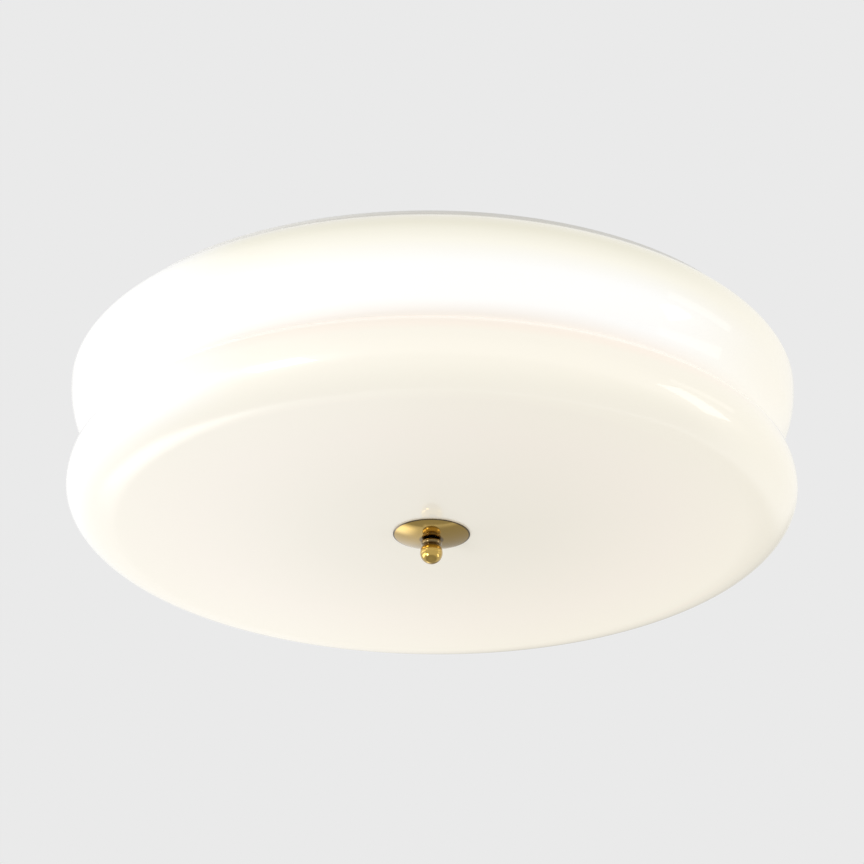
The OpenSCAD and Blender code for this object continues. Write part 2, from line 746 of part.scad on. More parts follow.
// Two-core leads, from inside each lampholder up through the pan to the block
lead_end = [block_x - seat_gap, 0, bore_z];
function from_lamp(i, u, z) = [u * cos(lamp_angle(i)), u * sin(lamp_angle(i)), z];
function lead_rise(i) = [
    from_lamp(i, holder_start + 3, lamp_z),
    from_lamp(i, lamp_start - 3, lamp_z),
    from_lamp(i, grommet_r + 1.6, lamp_z + 1.8),
    from_lamp(i, grommet_r, lamp_z + 6),
    from_lamp(i, grommet_r, (lamp_z + floor_z) / 2),
    from_lamp(i, grommet_r, floor_z - 3),
    from_lamp(i, grommet_r, floor_z + pan_t + 0.6)
];
function lead_run(i) = i == 2
    ? [[-12, -3, -17.3], [-7, -6.8, -17.1], [0, -7.2, -17.1], [8, -4.6, -16.4], [16, -0.8, bore_z], lead_end]
    : [
        [11, (i == 1 ? 1 : -1) * 11, -16.2],
        [16.5, (i == 1 ? 1 : -1) * pole_pitch, bore_z],
        [lead_end[0], (i == 1 ? 1 : -1) * pole_pitch, bore_z]
    ];
module holder_lead(i) {
    color([0.9, 0.9, 0.88]) tube(route_path(concat(lead_rise(i), lead_run(i))), lead_d / 2, 8);
}

glass_shade();
rim_gasket();
hole_sleeve();
glass_washer();
inner_washer();
inner_plate();
stop_nut();
finial_cap();
finial_knob();
centre_rod();
bracket_nuts();
pan_washer();
pan_nut();
mounting_bracket();
pan_screws();
screw_washers();
thumb_nuts();
ceiling_pan();
terminal_block();
terminal_sleeves();
terminal_screws();
earth_screw();
earth_nut();
wire_grommets();
bracket_screws();
holder_nipples();
nipple_nuts();
centre_contacts();
holder_lead(1);  // holder_lead_1
holder_lead(2);  // holder_lead_2
holder_lead(3);  // holder_lead_3
holder_bracket(1);  // holder_bracket_1
holder_bracket(2);  // holder_bracket_2
holder_bracket(3);  // holder_bracket_3
holder_dome(1);  // holder_dome_1
holder_dome(2);  // holder_dome_2
holder_dome(3);  // holder_dome_3
holder_skirt(1);  // holder_skirt_1
holder_skirt(2);  // holder_skirt_2
holder_skirt(3);  // holder_skirt_3
thread_shell(1);  // thread_shell_1
thread_shell(2);  // thread_shell_2
thread_shell(3);  // thread_shell_3
bulb_cap(1);  // bulb_cap_1
bulb_cap(2);  // bulb_cap_2
bulb_cap(3);  // bulb_cap_3
bulb_tip(1);  // bulb_tip_1
bulb_tip(2);  // bulb_tip_2
bulb_tip(3);  // bulb_tip_3
bulb_housing(1);  // bulb_housing_1
bulb_housing(2);  // bulb_housing_2
bulb_housing(3);  // bulb_housing_3
bulb_globe(1);  // bulb_globe_1
bulb_globe(2);  // bulb_globe_2
bulb_globe(3);  // bulb_globe_3
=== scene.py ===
# Two-tier opal glass ceiling light: fine shapes, finishes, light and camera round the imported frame
from math import asin, ceil, cos, degrees, pi, radians, sin, sqrt, tan

import bmesh
import bpy
from mathutils import Matrix, Vector


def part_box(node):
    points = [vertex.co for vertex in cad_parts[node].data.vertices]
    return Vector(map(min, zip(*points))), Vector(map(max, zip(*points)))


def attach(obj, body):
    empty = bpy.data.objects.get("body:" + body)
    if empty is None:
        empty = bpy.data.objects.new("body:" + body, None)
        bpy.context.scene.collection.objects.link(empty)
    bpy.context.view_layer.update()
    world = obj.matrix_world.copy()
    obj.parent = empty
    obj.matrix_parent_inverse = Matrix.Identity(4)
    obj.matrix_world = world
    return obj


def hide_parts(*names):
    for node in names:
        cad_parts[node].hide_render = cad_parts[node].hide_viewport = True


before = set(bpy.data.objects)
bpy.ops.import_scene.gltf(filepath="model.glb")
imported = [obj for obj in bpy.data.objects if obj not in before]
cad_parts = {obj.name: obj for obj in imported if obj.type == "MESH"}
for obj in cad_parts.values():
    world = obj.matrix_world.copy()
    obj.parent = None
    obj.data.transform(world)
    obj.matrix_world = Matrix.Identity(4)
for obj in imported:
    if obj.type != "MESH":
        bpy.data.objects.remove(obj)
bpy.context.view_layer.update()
mm = 0.001  # sizes below are millimetres, Blender's are metres


def nodeSpan(node):
    # Lowest and highest corner of a CAD node, in mm
    low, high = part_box(node)
    return low / mm, high / mm


# A shape is a list of points in mm and a list of faces


def turns(segments):
    return [2 * pi * k / segments for k in range(segments)]


def evenly(start, end, steps):
    # Values from start to end, both included
    return [start + (end - start) * k / steps for k in range(steps + 1)]


def arc(x, y, width, height, start, end, steps):
    # Points along an arc of an ellipse, from one angle to another in degrees
    angles = [radians(a) for a in evenly(start, end, steps)]
    return [(x + width * cos(a), y + height * sin(a)) for a in angles]


def curve(a, b, c, d, steps):
    # Points along a cubic curve, both ends included
    a, b, c, d = (Vector(p) for p in (a, b, c, d))
    return [
        tuple((1 - t) ** 3 * a + 3 * t * (1 - t) ** 2 * b + 3 * t * t * (1 - t) * c + t**3 * d)
        for t in evenly(0, 1, steps)
    ]


def around(outline, k):
    # A corner of a closed outline between its two neighbours
    return [Vector(outline[n % len(outline)]) for n in (k - 1, k, k + 1)]


def roundedCorner(before, corner, after, radius, steps):
    # Points on a curve that rounds a corner and keeps to its own half of both sides
    back, ahead = before - corner, after - corner
    bend = pi - back.angle(ahead)
    reach = min(radius * tan(bend / 2), 0.45 * back.length, 0.45 * ahead.length)
    start, end = corner + reach * back.normalized(), corner + reach * ahead.normalized()
    return [
        tuple((1 - t) ** 2 * start + 2 * t * (1 - t) * corner + t * t * end)
        for t in evenly(0, 1, steps)
    ]


def softened(outline, radius, steps=3):
    # A closed outline with its sharp corners rounded, except those on the axis
    soft = []
    gentle = radians(28)  # a smaller bend is part of a curve
    for k in range(len(outline)):
        before, corner, after = around(outline, k)
        back, ahead = before - corner, after - corner
        if back.length < 1e-6 or ahead.length < 1e-6:
            continue
        if pi - back.angle(ahead) < gentle or abs(corner.x) < 1e-6:
            soft.append(tuple(corner))
        else:
            soft += roundedCorner(before, corner, after, radius, steps)
    return soft


def folded(outline, bends):
    # The outline of a bent sheet, each corner rounded by its own radius; 0 leaves it square
    rounded = []
    for k, radius in enumerate(bends):
        before, corner, after = around(outline, k)
        rounded += roundedCorner(before, corner, after, radius, 5) if radius else [tuple(corner)]
    return rounded


def spin(outline, segments=96):
    # A turned closed form; a ring is (radius, height), or a function of the angle that gives both
    points, rings, faces = [], [], []
    for ring in outline:
        spots = [ring(a) if callable(ring) else ring for a in turns(segments)]
        if max(r for r, z in spots) < 1e-6:
            rings.append([len(points)] * segments)
            points.append(Vector((0, 0, spots[0][1])))
            continue
        rings.append(list(range(len(points), len(points) + segments)))
        points += [Vector((r * cos(a), r * sin(a), z)) for (r, z), a in zip(spots, turns(segments))]
    for low, high in zip(rings, rings[1:] + rings[:1]):
        for k in range(segments):
            n = (k + 1) % segments
            face = list(dict.fromkeys((low[k], low[n], high[n], high[k])))
            if len(face) > 2:
                faces.append(face)
    return points, faces


def ring(low, high, outer, inner, edge, segments=96):
    return spin(softened([(inner, low), (outer, low), (outer, high), (inner, high)], edge), segments)


def prism(outline, low, high):
    # A closed outline in x and y, drawn up in z
    count = len(outline)
    points = [Vector((x, y, z)) for z in (low, high) for x, y in outline]
    faces = [[k, (k + 1) % count, (k + 1) % count + count, k + count] for k in range(count)]
    return points, faces + [list(range(count)), list(range(count, 2 * count))]


def block(x, y, z):
    # A box between two values on each axis
    return prism([(x[0], y[0]), (x[1], y[0]), (x[1], y[1]), (x[0], y[1])], *z)


def rod(radius, low, high, segments=32):
    return prism([(radius * cos(a), radius * sin(a)) for a in turns(segments)], low, high)


def sweep(path, radius):
    # A round tube along a path, its sides carried on without a twist
    points, faces = [], []
    segments = 20
    side = Vector((0.3, 1, 0.2))  # any direction that the path doesn't start in
    last = len(path) - 1
    for k, spot in enumerate(path):
        way = (path[min(k + 1, last)] - path[max(k - 1, 0)]).normalized()
        side = (side - side.dot(way) * way).normalized()
        other = way.cross(side)
        points += [spot + radius * (cos(a) * side + sin(a) * other) for a in turns(segments)]
    for low in range(0, last * segments, segments):
        high = low + segments
        for j in range(segments):
            n = (j + 1) % segments
            faces.append([low + j, low + n, high + n, high + j])
    ends = [list(range(segments)), list(range(last * segments, (last + 1) * segments))]
    return points, faces + ends


def screwThread(radius, depth, pitch, low, high, segments=24):
    # A right-hand thread: each row of points follows the helix, and the ends run out to the core
    rows = ((0, 0), (0.1, 0), (0.5, 1), (0.6, 1))  # share of the pitch, share of the depth
    points, faces, known = [], [], {}
    core = radius - depth

    def corner(row, k):
        turn, step = divmod(row, len(rows))
        share, drop = rows[step]
        z = min(max(low + pitch * (turn - 1 + share + k / segments), low), high)
        r = min(radius - depth * drop, core + z - low, core + high - z)
        key = (k % segments, round(z, 4), round(r, 4))
        if key not in known:
            known[key] = len(points)
            a = 2 * pi * k / segments
            points.append(Vector((r * cos(a), r * sin(a), z)))
        return known[key]

    for row in range(len(rows) * (ceil((high - low) / pitch) + 2)):
        for k in range(segments):
            face = [corner(row, k), corner(row, k + 1), corner(row + 1, k + 1), corner(row + 1, k)]
            face = list(dict.fromkeys(face))
            if len(face) > 2:
                faces.append(face)
    for z in (low, high):
        faces.append([known[(k, round(z, 4), round(core, 4))] for k in range(segments)])
    return points, faces


def hexNut(low, high, flats, bore):
    # A nut with turned chamfers on both faces and a small countersink at each end of its bore
    face, sink = 0.47 * flats, 0.4  # radius of the flat face, depth of the countersink

    def wall(a):
        return flats / 2 / cos((a + pi / 6) % (pi / 3) - pi / 6)

    def chamfer(z, way):
        return lambda a: (wall(a), z + way * (wall(a) - face) * tan(radians(30)))

    outside = [(face, low), chamfer(low, 1), chamfer(high, -1), (face, high)]
    inside = [(bore + sink, high), (bore, high - sink), (bore, low + sink), (bore + sink, low)]
    return spin(outside + inside, 72)


def place(shape, matrix):
    points, faces = shape
    return [matrix @ p for p in points], faces


def shift(shape, x=0, y=0, z=0):
    return place(shape, Matrix.Translation((x, y, z)))


def meshOf(shapes, name="work"):
    mesh = bpy.data.meshes.new(name)
    work = bmesh.new()
    for group, (points, faces) in enumerate(shapes):
        corners = [work.verts.new(p * mm) for p in points]
        for face in faces:
            work.faces.new([corners[k] for k in face]).material_index = group
    bmesh.ops.recalc_face_normals(work, faces=work.faces)
    work.to_mesh(mesh)
    work.free()
    return mesh


def reshaped(shape, kind, settings):
    # The shape after one of Blender's modifiers
    bare = bpy.data.objects.new("work", meshOf([shape]))
    bpy.context.collection.objects.link(bare)
    change = bare.modifiers.new(kind, kind)
    for key, value in settings.items():
        setattr(change, key, value)
    made = bare.evaluated_get(bpy.context.evaluated_depsgraph_get()).to_mesh()
    result = [v.co / mm for v in made.vertices], [list(p.vertices) for p in made.polygons]
    bpy.data.objects.remove(bare)
    return result


def cutAway(shape, *cutters):
    # The shape without the space of the cutters
    points, faces = [], []
    for cutterPoints, cutterFaces in cutters:
        faces += [[k + len(points) for k in face] for face in cutterFaces]
        points += cutterPoints
    knife = bpy.data.objects.new("knife", meshOf([(points, faces)]))
    bpy.context.collection.objects.link(knife)
    result = reshaped(shape, "BOOLEAN", {"operation": "DIFFERENCE", "solver": "EXACT", "object": knife})
    bpy.data.objects.remove(knife)
    return result


def bevelled(shape, width):
    settings = {"width": width * mm, "segments": 2, "limit_method": "ANGLE", "angle_limit": radians(40)}
    return reshaped(shape, "BEVEL", settings)


def makePiece(name, parts, node, body="root", crease=32):
    # parts is a list of (finish, shape); each shape gets its finish's material
    names = list(dict.fromkeys(finish for finish, shape in parts))
    mesh = meshOf([shape for finish, shape in parts], name)
    for finish in names:
        mesh.materials.append(finishes[finish]["material"])
    groups = [names.index(finish) for finish, shape in parts]
    for face in mesh.polygons:
        face.material_index = groups[face.material_index]
    work = bmesh.new()
    work.from_mesh(mesh)
    for edge in work.edges:
        edge.smooth = edge.calc_face_angle(0) < radians(crease)
    for face in work.faces:
        face.smooth = True
    work.to_mesh(mesh)
    work.free()
    piece = bpy.data.objects.new(name, mesh)
    bpy.context.collection.objects.link(piece)
    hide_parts(node)
    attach(piece, body)


def linearColour(code):
    # sRGB hex to linear values with alpha
    shares = [int(code[k : k + 2], 16) / 255 for k in (0, 2, 4)]
    return tuple(s / 12.92 if s <= 0.04045 else ((s + 0.055) / 1.055) ** 2.4 for s in shares) + (1,)


def perMetre(size):
    # Scale of a pattern whose features are so many millimetres apart
    return 1 / (size * mm)


def joinTo(tree, source, node, key):
    # Links a socket, or the first output of a node, to an input
    tree.links.new(getattr(source, "outputs", [source])[0], node.inputs[key])


def addNode(tree, kind, settings=None, links=None):
    # One node with its settings, ramp stops and links; a text for an input is a colour
    node = tree.nodes.new("ShaderNode" + kind)
    for key, value in (settings or {}).items():
        if key == "stops":
            elements = node.color_ramp.elements
            while len(elements) < len(value):
                elements.new(0.5)
            for element, (spot, colour) in zip(elements, value):
                element.position = spot
                element.color = linearColour(colour)
        elif isinstance(key, int) or key in node.inputs:
            node.inputs[key].default_value = linearColour(value) if isinstance(value, str) else value
        else:
            setattr(node, key, value)
    for key, source in (links or {}).items():
        joinTo(tree, source, node, key)
    return node


def clearedTree(owner):
    # The empty node tree of a material or of the world
    owner.use_nodes = True
    owner.node_tree.nodes.clear()
    return owner.node_tree


def measured(tree, where):
    # The three coordinates of a spot, and its distance from the middle line
    axes = addNode(tree, "SeparateXYZ", links={"Vector": where}).outputs
    flat = addNode(tree, "CombineXYZ", links={"X": axes["X"], "Y": axes["Y"]})
    away = addNode(tree, "VectorMath", {"operation": "LENGTH"}, {0: flat})
    return axes, away.outputs["Value"]


finishes = {}


def newFinish(name, slotName, settings, grain=None, tones=None):
    # A material with one Principled shader. Its grain is fine noise: the size and depth of its relief in mm,
    # then the least and most roughness that it gives. Its two tones lie in blotches of 12 grains
    material = bpy.data.materials.new(name)
    tree = clearedTree(material)
    shader = addNode(tree, "BsdfPrincipled", settings)
    addNode(tree, "OutputMaterial", links={"Surface": shader})
    where = addNode(tree, "TexCoord").outputs["Object"]
    finishes[name] = {"material": material, "slot": slotName}
    if grain:
        size, depth, least, most = grain
        noise = addNode(tree, "TexNoise", {"Scale": perMetre(size), "Detail": 3.0}, {"Vector": where})
        relief = addNode(tree, "Bump", {"Strength": 1.0, "Distance": depth * mm}, {"Height": noise})
        joinTo(tree, relief, shader, "Normal")
        spread = addNode(
            tree, "MapRange",
            {"From Min": 0.3, "From Max": 0.7, "To Min": least, "To Max": most}, {"Value": noise},
        )
        joinTo(tree, spread, shader, "Roughness")
    if tones:
        blotch = addNode(
            tree, "TexNoise", {"Scale": perMetre(size * 12), "Detail": 2.0}, {"Vector": where}
        )
        ramp = addNode(tree, "ValToRGB", {"stops": list(zip((0.35, 0.65), tones))}, {"Fac": blotch})
        joinTo(tree, ramp, shader, "Base Color")
    return tree, shader, where


# Cased opal glass, mould blown: a clear glossy skin over a white core. Its glow is painted light: an emission
# set by place on the glass stands in for the light of the bulbs inside
glassAndPaintedGlow = {
    "core": "CFCECA",
    "strength": 1.0,
    "waviness": 45.0,  # mm between the soft waves that blowing leaves
    "waveDepth": 0.05,
    # Painted shade at the outline: where the glass is seen edge on, its glow turns to this dark tone
    "edgeShadeTone": "3A3833",  # the clear skin alone, seen edge on
    "edgeShadeFrom": 0.88,
    "edgeShadeDepth": 0.72,
    # Painted light and shade on the sides of the tiers, by X: warm furthest from a bulb, white beside one.
    # Tone, and X in mm where it starts and where it is full
    "sides": [("C1BAA7", 100.0, 205.0), ("BEBEBE", -90.0, -150.0)],
    # Painted light that changes along an axis: from and to in mm, and the share of the light at both. Two
    # rows are for the bottom, the last is for the tiers
    "gains": [
        ("X", -200.0, 200.0, 0.94, 1.1), ("Y", -200.0, 200.0, 0.9, 1.12), ("X", -40.0, 80.0, 1.0, 1.09),
    ],
    # Painted light through the bottom, by distance from the middle in mm
    "bottom": [(0, "A9A393"), (60, "ADA697"), (130, "B7AEA0"), (200, "BCB6A4")],
    # Painted light through the tiers, by height in mm: whitest beside the bulbs, warm at the waist and the
    # rim
    "tiers": [
        (-99, "BCB6A5"), (-75, "BDB6A6"), (-71, "C0B2A2"), (-64, "BBAD9E"), (-52, "C0C0C0"), (-35, "C0C0C0"),
        (-24, "BCB8A8"), (-14, "A8A38B"), (-4, "A29B86"),
    ],
    "corner": (-98.5, -88.0),  # heights where the bottom's light turns into that of the tiers
}
tree, shader, where = newFinish(
    "casedOpalGlass", "opal_glass",
    {
        "Base Color": glassAndPaintedGlow["core"], "Roughness": 0.35, "IOR": 1.5,
        "Coat Weight": 1.0, "Coat Roughness": 0.02, "Coat IOR": 1.5,
        "Emission Strength": glassAndPaintedGlow["strength"],
    },
)
axes, middle = measured(tree, where)
# Painted light: the glow grows brighter towards one side of the bottom and of the tiers
gainX, gainY, tierGain = [
    addNode(
        tree, "MapRange",
        {"From Min": start * mm, "From Max": end * mm, "To Min": low, "To Max": high}, {"Value": axes[axis]},
    )
    for axis, start, end, low, high in glassAndPaintedGlow["gains"]
]
bottomGain = addNode(tree, "Math", {"operation": "MULTIPLY"}, {0: gainX, 1: gainY})


def glowRamp(source, stops, gain):
    # Painted light by a distance in metres, from stops in mm, times its gain
    low, high = stops[0][0], stops[-1][0]
    share = addNode(tree, "MapRange", {"From Min": low * mm, "From Max": high * mm}, {"Value": source})
    places = [((spot - low) / (high - low), code) for spot, code in stops]
    ramp = addNode(tree, "ValToRGB", {"stops": places}, {"Fac": share})
    return addNode(tree, "VectorMath", {"operation": "SCALE"}, {0: ramp, "Scale": gain})


# Painted glow of the bottom and of the tiers, from the tables above
bottomGlow = glowRamp(middle, glassAndPaintedGlow["bottom"], bottomGain)
tiers = glowRamp(axes["Z"], glassAndPaintedGlow["tiers"], tierGain)
# Painted light and shade: towards each side the tiers' glow turns to its tone
for tone, start, end in glassAndPaintedGlow["sides"]:
    side = addNode(
        tree, "MapRange",
        {"From Min": start * mm, "From Max": end * mm, "interpolation_type": "SMOOTHSTEP"},
        {"Value": axes["X"]},
    )
    tiers = addNode(tree, "Mix", {"data_type": "RGBA", 7: tone}, {0: side, 6: tiers}).outputs[2]
start, end = glassAndPaintedGlow["corner"]
corner = addNode(
    tree, "MapRange",
    {"From Min": start * mm, "From Max": end * mm, "interpolation_type": "SMOOTHSTEP"}, {"Value": axes["Z"]},
)
glow = addNode(tree, "Mix", {"data_type": "RGBA"}, {0: corner, 6: bottomGlow, 7: tiers})
# Painted shade: the glow darkens where the glass is seen edge on
facing = addNode(tree, "LayerWeight", {"Blend": 0.5}).outputs["Facing"]
edgeShade = addNode(
    tree, "MapRange",
    {"From Min": glassAndPaintedGlow["edgeShadeFrom"], "From Max": 1.0, "To Max": glassAndPaintedGlow["edgeShadeDepth"],
     "interpolation_type": "SMOOTHSTEP"},
    {"Value": facing},
)
seenGlow = addNode(
    tree, "Mix", {"data_type": "RGBA", 7: glassAndPaintedGlow["edgeShadeTone"]}, {0: edgeShade, 6: glow.outputs[2]}
)
joinTo(tree, seenGlow.outputs[2], shader, "Emission Color")
waves = addNode(
    tree, "TexNoise", {"Scale": perMetre(glassAndPaintedGlow["waviness"]), "Detail": 0.0}, {"Vector": where}
)
relief = addNode(
    tree, "Bump", {"Strength": 1.0, "Distance": glassAndPaintedGlow["waveDepth"] * mm}, {"Height": waves}
)
for socket in ("Normal", "Coat Normal"):
    joinTo(tree, relief, shader, socket)

# Brass, turned and polished, then lacquered: deep gold mirror. Painted shade darkens it to brown at the cap's
# sheared rim and on the neck above the ball
brassPaintedShade = {
    "rim": (20.1, 20.7),  # mm from the middle: clean at the first, brown from the second
    "neckDepth": (4.8, 3.4),  # mm below the top of the knob, the same
    "neckReach": (6.0, 7.0),  # mm from the middle: browned up to the first, clean from the second
    "neckShare": 0.6,
    "tones": ("C2A14E", "836A38", "4C402B"),
}
tree, shader, where = newFinish(
    "polishedBrass", "polished_brass",
    {"Metallic": 1.0, "Roughness": 0.1, "Coat Weight": 0.8, "Coat Roughness": 0.04},
    (6.0, 0.004, 0.07, 0.12),
)
axes, middle = measured(tree, where)
knobTop = nodeSpan("finial_knob")[1].z
rimShare, heightShare, neckShare = [
    addNode(
        tree, "MapRange",
        {"From Min": start * mm, "From Max": end * mm, "To Min": low, "To Max": high}, {"Value": source},
    )
    for source, start, end, low, high in (
        (middle, *brassPaintedShade["rim"], 0.0, 1.0),
        (axes["Z"], *[knobTop - depth for depth in brassPaintedShade["neckDepth"]], 0.0, 1.0),
        (middle, *brassPaintedShade["neckReach"], brassPaintedShade["neckShare"], 0.0),
    )
]
# Painted shade: the base colour turns brown at the cap's rim and on the neck above the ball
neck = addNode(tree, "Math", {"operation": "MULTIPLY"}, {0: heightShare, 1: neckShare})
paintedShade = addNode(tree, "Math", {"operation": "MAXIMUM"}, {0: rimShare, 1: neck})
stops = [(k / 2, tone) for k, tone in enumerate(brassPaintedShade["tones"])]
ramp = addNode(tree, "ValToRGB", {"stops": stops}, {"Fac": paintedShade})
joinTo(tree, ramp, shader, "Base Color")

# Rolled brass strip and tube, left dull: warm, soft highlights with small darker spots
newFinish(
    "rolledBrass", "plain_brass", {"Metallic": 1.0, "Roughness": 0.32},
    (0.5, 0.01, 0.26, 0.42), ("C2A15C", "D2B472"),
)
# Powder-coated sheet steel: even satin white with the fine orange peel of baked powder
newFinish(
    "powderCoatedSteel", "white_enamel", {"IOR": 1.5, "Coat Weight": 0.5, "Coat Roughness": 0.15},
    (1.2, 0.01, 0.32, 0.44), ("F8F7F3", "FAF9F6"),
)
# Zinc-plated steel: grey with a cool and faintly yellow bloom, slightly streaked
newFinish(
    "zincPlatedSteel", "zinc_steel", {"Metallic": 1.0, "Roughness": 0.3},
    (0.8, 0.012, 0.24, 0.4), ("B9BDC2", "CBC9BF"),
)
# Nickel plate on rolled sheet: bright, warm grey mirror with faint roller marks
newFinish(
    "nickelPlate", "nickel", {"Metallic": 1.0, "Roughness": 0.18},
    (1.0, 0.008, 0.14, 0.26), ("CAC7C0", "D6D3CC"),
)
# Tinned contact: grey, dull solder with a lumpy skin
newFinish(
    "tinnedContact", "contact_tin", {"Metallic": 1.0, "Roughness": 0.4},
    (1.5, 0.06, 0.3, 0.5), ("A9A9A4", "BDBDB8"),
)
# Black glass insulator, pressed while hot: near black with a soft gloss
newFinish(
    "pressedBlackGlass", "contact_tin", {"IOR": 1.52, "Roughness": 0.15},
    (1.5, 0.02, 0.12, 0.25), ("141212", "1C1918"),
)
# Moulded silicone: milky, slightly see-through, dusty at its skin
newFinish(
    "mouldedSilicone", "clear_silicone",
    {"IOR": 1.41, "Roughness": 0.45, "Subsurface Weight": 0.25, "Subsurface Radius": (0.003, 0.003, 0.0028)},
    (0.7, 0.02, 0.38, 0.55), ("D2D1CA", "DCDBD4"),
)
# Moulded rubber: charcoal black, matt, with a fine mould texture
newFinish(
    "mouldedRubber", "black_rubber", {"IOR": 1.52, "Roughness": 0.7},
    (0.5, 0.03, 0.6, 0.8), ("232322", "2C2B2A"),
)
# Moulded white resin of lampholders: warm white with a soft gloss and a slight flow mottle
newFinish(
    "mouldedResin", "white_resin", {"IOR": 1.5, "Roughness": 0.32},
    (1.6, 0.012, 0.26, 0.4), ("E6E4DB", "ECEAE3"),
)
# Bulb housing of spark-eroded moulded plastic: matt, cool white
newFinish(
    "mattBulbPlastic", "bulb_plastic", {"IOR": 1.49, "Roughness": 0.55},
    (0.5, 0.008, 0.48, 0.64), ("ECECE9", "EFEFEC"),
)
# Milky polycarbonate diffuser, lit warm from within
newFinish(
    "opalDiffuser", "bulb_diffuser",
    {
        "IOR": 1.58, "Roughness": 0.4, "Emission Color": "FFF3DC", "Emission Strength": 0.5,
        "Base Color": "B8B4A8",
    },
    (0.6, 0.012, 0.35, 0.5),
)
# PVC sheath of the leads: soft white, satin, with the slight ripple of extrusion
newFinish(
    "pvcSheath", "lead_sheath", {"IOR": 1.53, "Roughness": 0.42},
    (2.0, 0.03, 0.36, 0.5), ("E0DFD9", "E7E6E1"),
)
print("finishes:", len(finishes))


# The glass in its two tiers
glass = {
    "wall": 4.0,
    "hole": 7.0,  # radius
    "tierPitch": 60.0,
    "corner": (30.0, 20.5),  # width and height of each rounded part
    "shoulder": (6.0, 13.0),
    "under": (12.0, 25.0),
    "top": (39.0, 21.0),
    "shoulderEnd": 80,  # degrees
    "underEnd": 50,
    "pullLow": 10.0,
    "pullHigh": 16.0,
    "bottomRings": (20, 60, 100, 140),  # radii between the hole and the corner
    "polish": 0.9,  # fire-polished edge of the hole
}
glassLow, glassHigh = nodeSpan("glass_shade")
glass["radius"], glass["underside"], glass["rim"] = glassHigh.x, glassLow.z, glassHigh.z


def glassLine(inset):
    # Half outline from the hole up to the rim, on the face that lies so far inside the outer one
    g, steps = glass, 24
    lowZ = g["underside"] + g["corner"][1]
    highZ = lowZ + g["tierPitch"]
    edge = g["radius"] - inset
    corner, shoulder, under, top = (
        (g[k][0] - inset, g[k][1] - inset) for k in ("corner", "shoulder", "under", "top")
    )
    ends = []
    for (width, height), z, end, way in (
        (shoulder, lowZ, g["shoulderEnd"], 1), (under, highZ, g["underEnd"], -1),
    ):
        end = radians(end)
        spot = Vector((edge - width + width * cos(end), z + way * height * sin(end)))
        heading = Vector((-way * width * sin(end), height * cos(end))).normalized()
        ends.append((spot, heading))
    (shoulderTip, shoulderWay), (underTip, underWay) = ends
    waist = curve(
        shoulderTip, shoulderTip + (g["pullLow"] + 2 * inset) * shoulderWay,
        underTip - (g["pullHigh"] + inset) * underWay, underTip, 2 * steps,
    )
    topEnd = degrees(asin((g["rim"] - highZ) / top[1]))
    return [
        *[(r, g["underside"] + inset) for r in (g["hole"], *g["bottomRings"])],
        *arc(edge - corner[0], lowZ, *corner, -90, 0, 2 * steps),
        *arc(edge - shoulder[0], lowZ, *shoulder, 0, g["shoulderEnd"], steps)[1:],
        *waist[1:],
        *arc(edge - under[0], highZ, *under, -g["underEnd"], 0, steps)[1:],
        *arc(edge - top[0], highZ, *top, 0, topEnd, steps)[1:],
    ]


outline = glassLine(0) + glassLine(glass["wall"])[::-1]
makePiece(
    "glassShade", [("casedOpalGlass", spin(softened(outline, glass["polish"], 4), 256))],
    "glass_shade", "shade", crease=40,
)

# Cap and knob under the glass
finial = {
    "capSheet": 1.0,
    "capLip": 0.5,  # the sheet's cut edge leans in by so much
    "capEdge": 0.45,
    "boreRadius": 3.3,
    "beadDiameter": 11.4,
    "beadHeight": 3.0,
    "ballDiameter": 12.4,
    "ballDrop": 7.3,  # from the top of the knob to the middle of the ball
    "neckStep": 0.25,  # from the bead's core out to the neck
    "threadBore": 3.05,
    "threadEnd": -111.9,
    "drillTip": 0.6,
}
capLow, capHigh = nodeSpan("finial_cap")
knobHigh = nodeSpan("finial_knob")[1]


def capDome(poleZ, sag):
    # Points along a shallow dome from the bore out to the cap's rim
    reach = capHigh.x
    radius = (reach * reach + sag * sag) / (2 * sag)
    radii = evenly(finial["boreRadius"], reach, 28)
    return [(r, poleZ + radius - sqrt(radius * radius - r * r)) for r in radii]


capSag, capSheet = capHigh.z - capLow.z, finial["capSheet"]
innerDome = capDome(capLow.z + capSheet, capSag - capSheet)
innerDome[-1] = (capHigh.x - finial["capLip"], innerDome[-1][1])
capOutline = softened(capDome(capLow.z, capSag) + innerDome[::-1], finial["capEdge"], 5)
makePiece("brassCap", [("polishedBrass", spin(capOutline, 160))], "finial_cap", "cap", crease=40)

beadRadius, ballRadius = finial["beadHeight"] / 2, finial["ballDiameter"] / 2
beadCore = finial["beadDiameter"] / 2 - beadRadius
ballZ = knobHigh.z - finial["ballDrop"]
neckZ = ballZ + sqrt(ballRadius**2 - (beadCore + finial["neckStep"]) ** 2)
knobOutline = [
    (finial["threadBore"], knobHigh.z),
    *arc(beadCore, knobHigh.z - beadRadius, beadRadius, beadRadius, 90, -80, 20),
    *arc(0, ballZ, ballRadius, ballRadius, degrees(asin((neckZ - ballZ) / ballRadius)), -90, 36),
    (0, finial["threadEnd"]),
    (finial["threadBore"], finial["threadEnd"] + finial["drillTip"]),
]
makePiece("brassKnob", [("polishedBrass", spin(knobOutline, 128))], "finial_knob", "knob", crease=40)

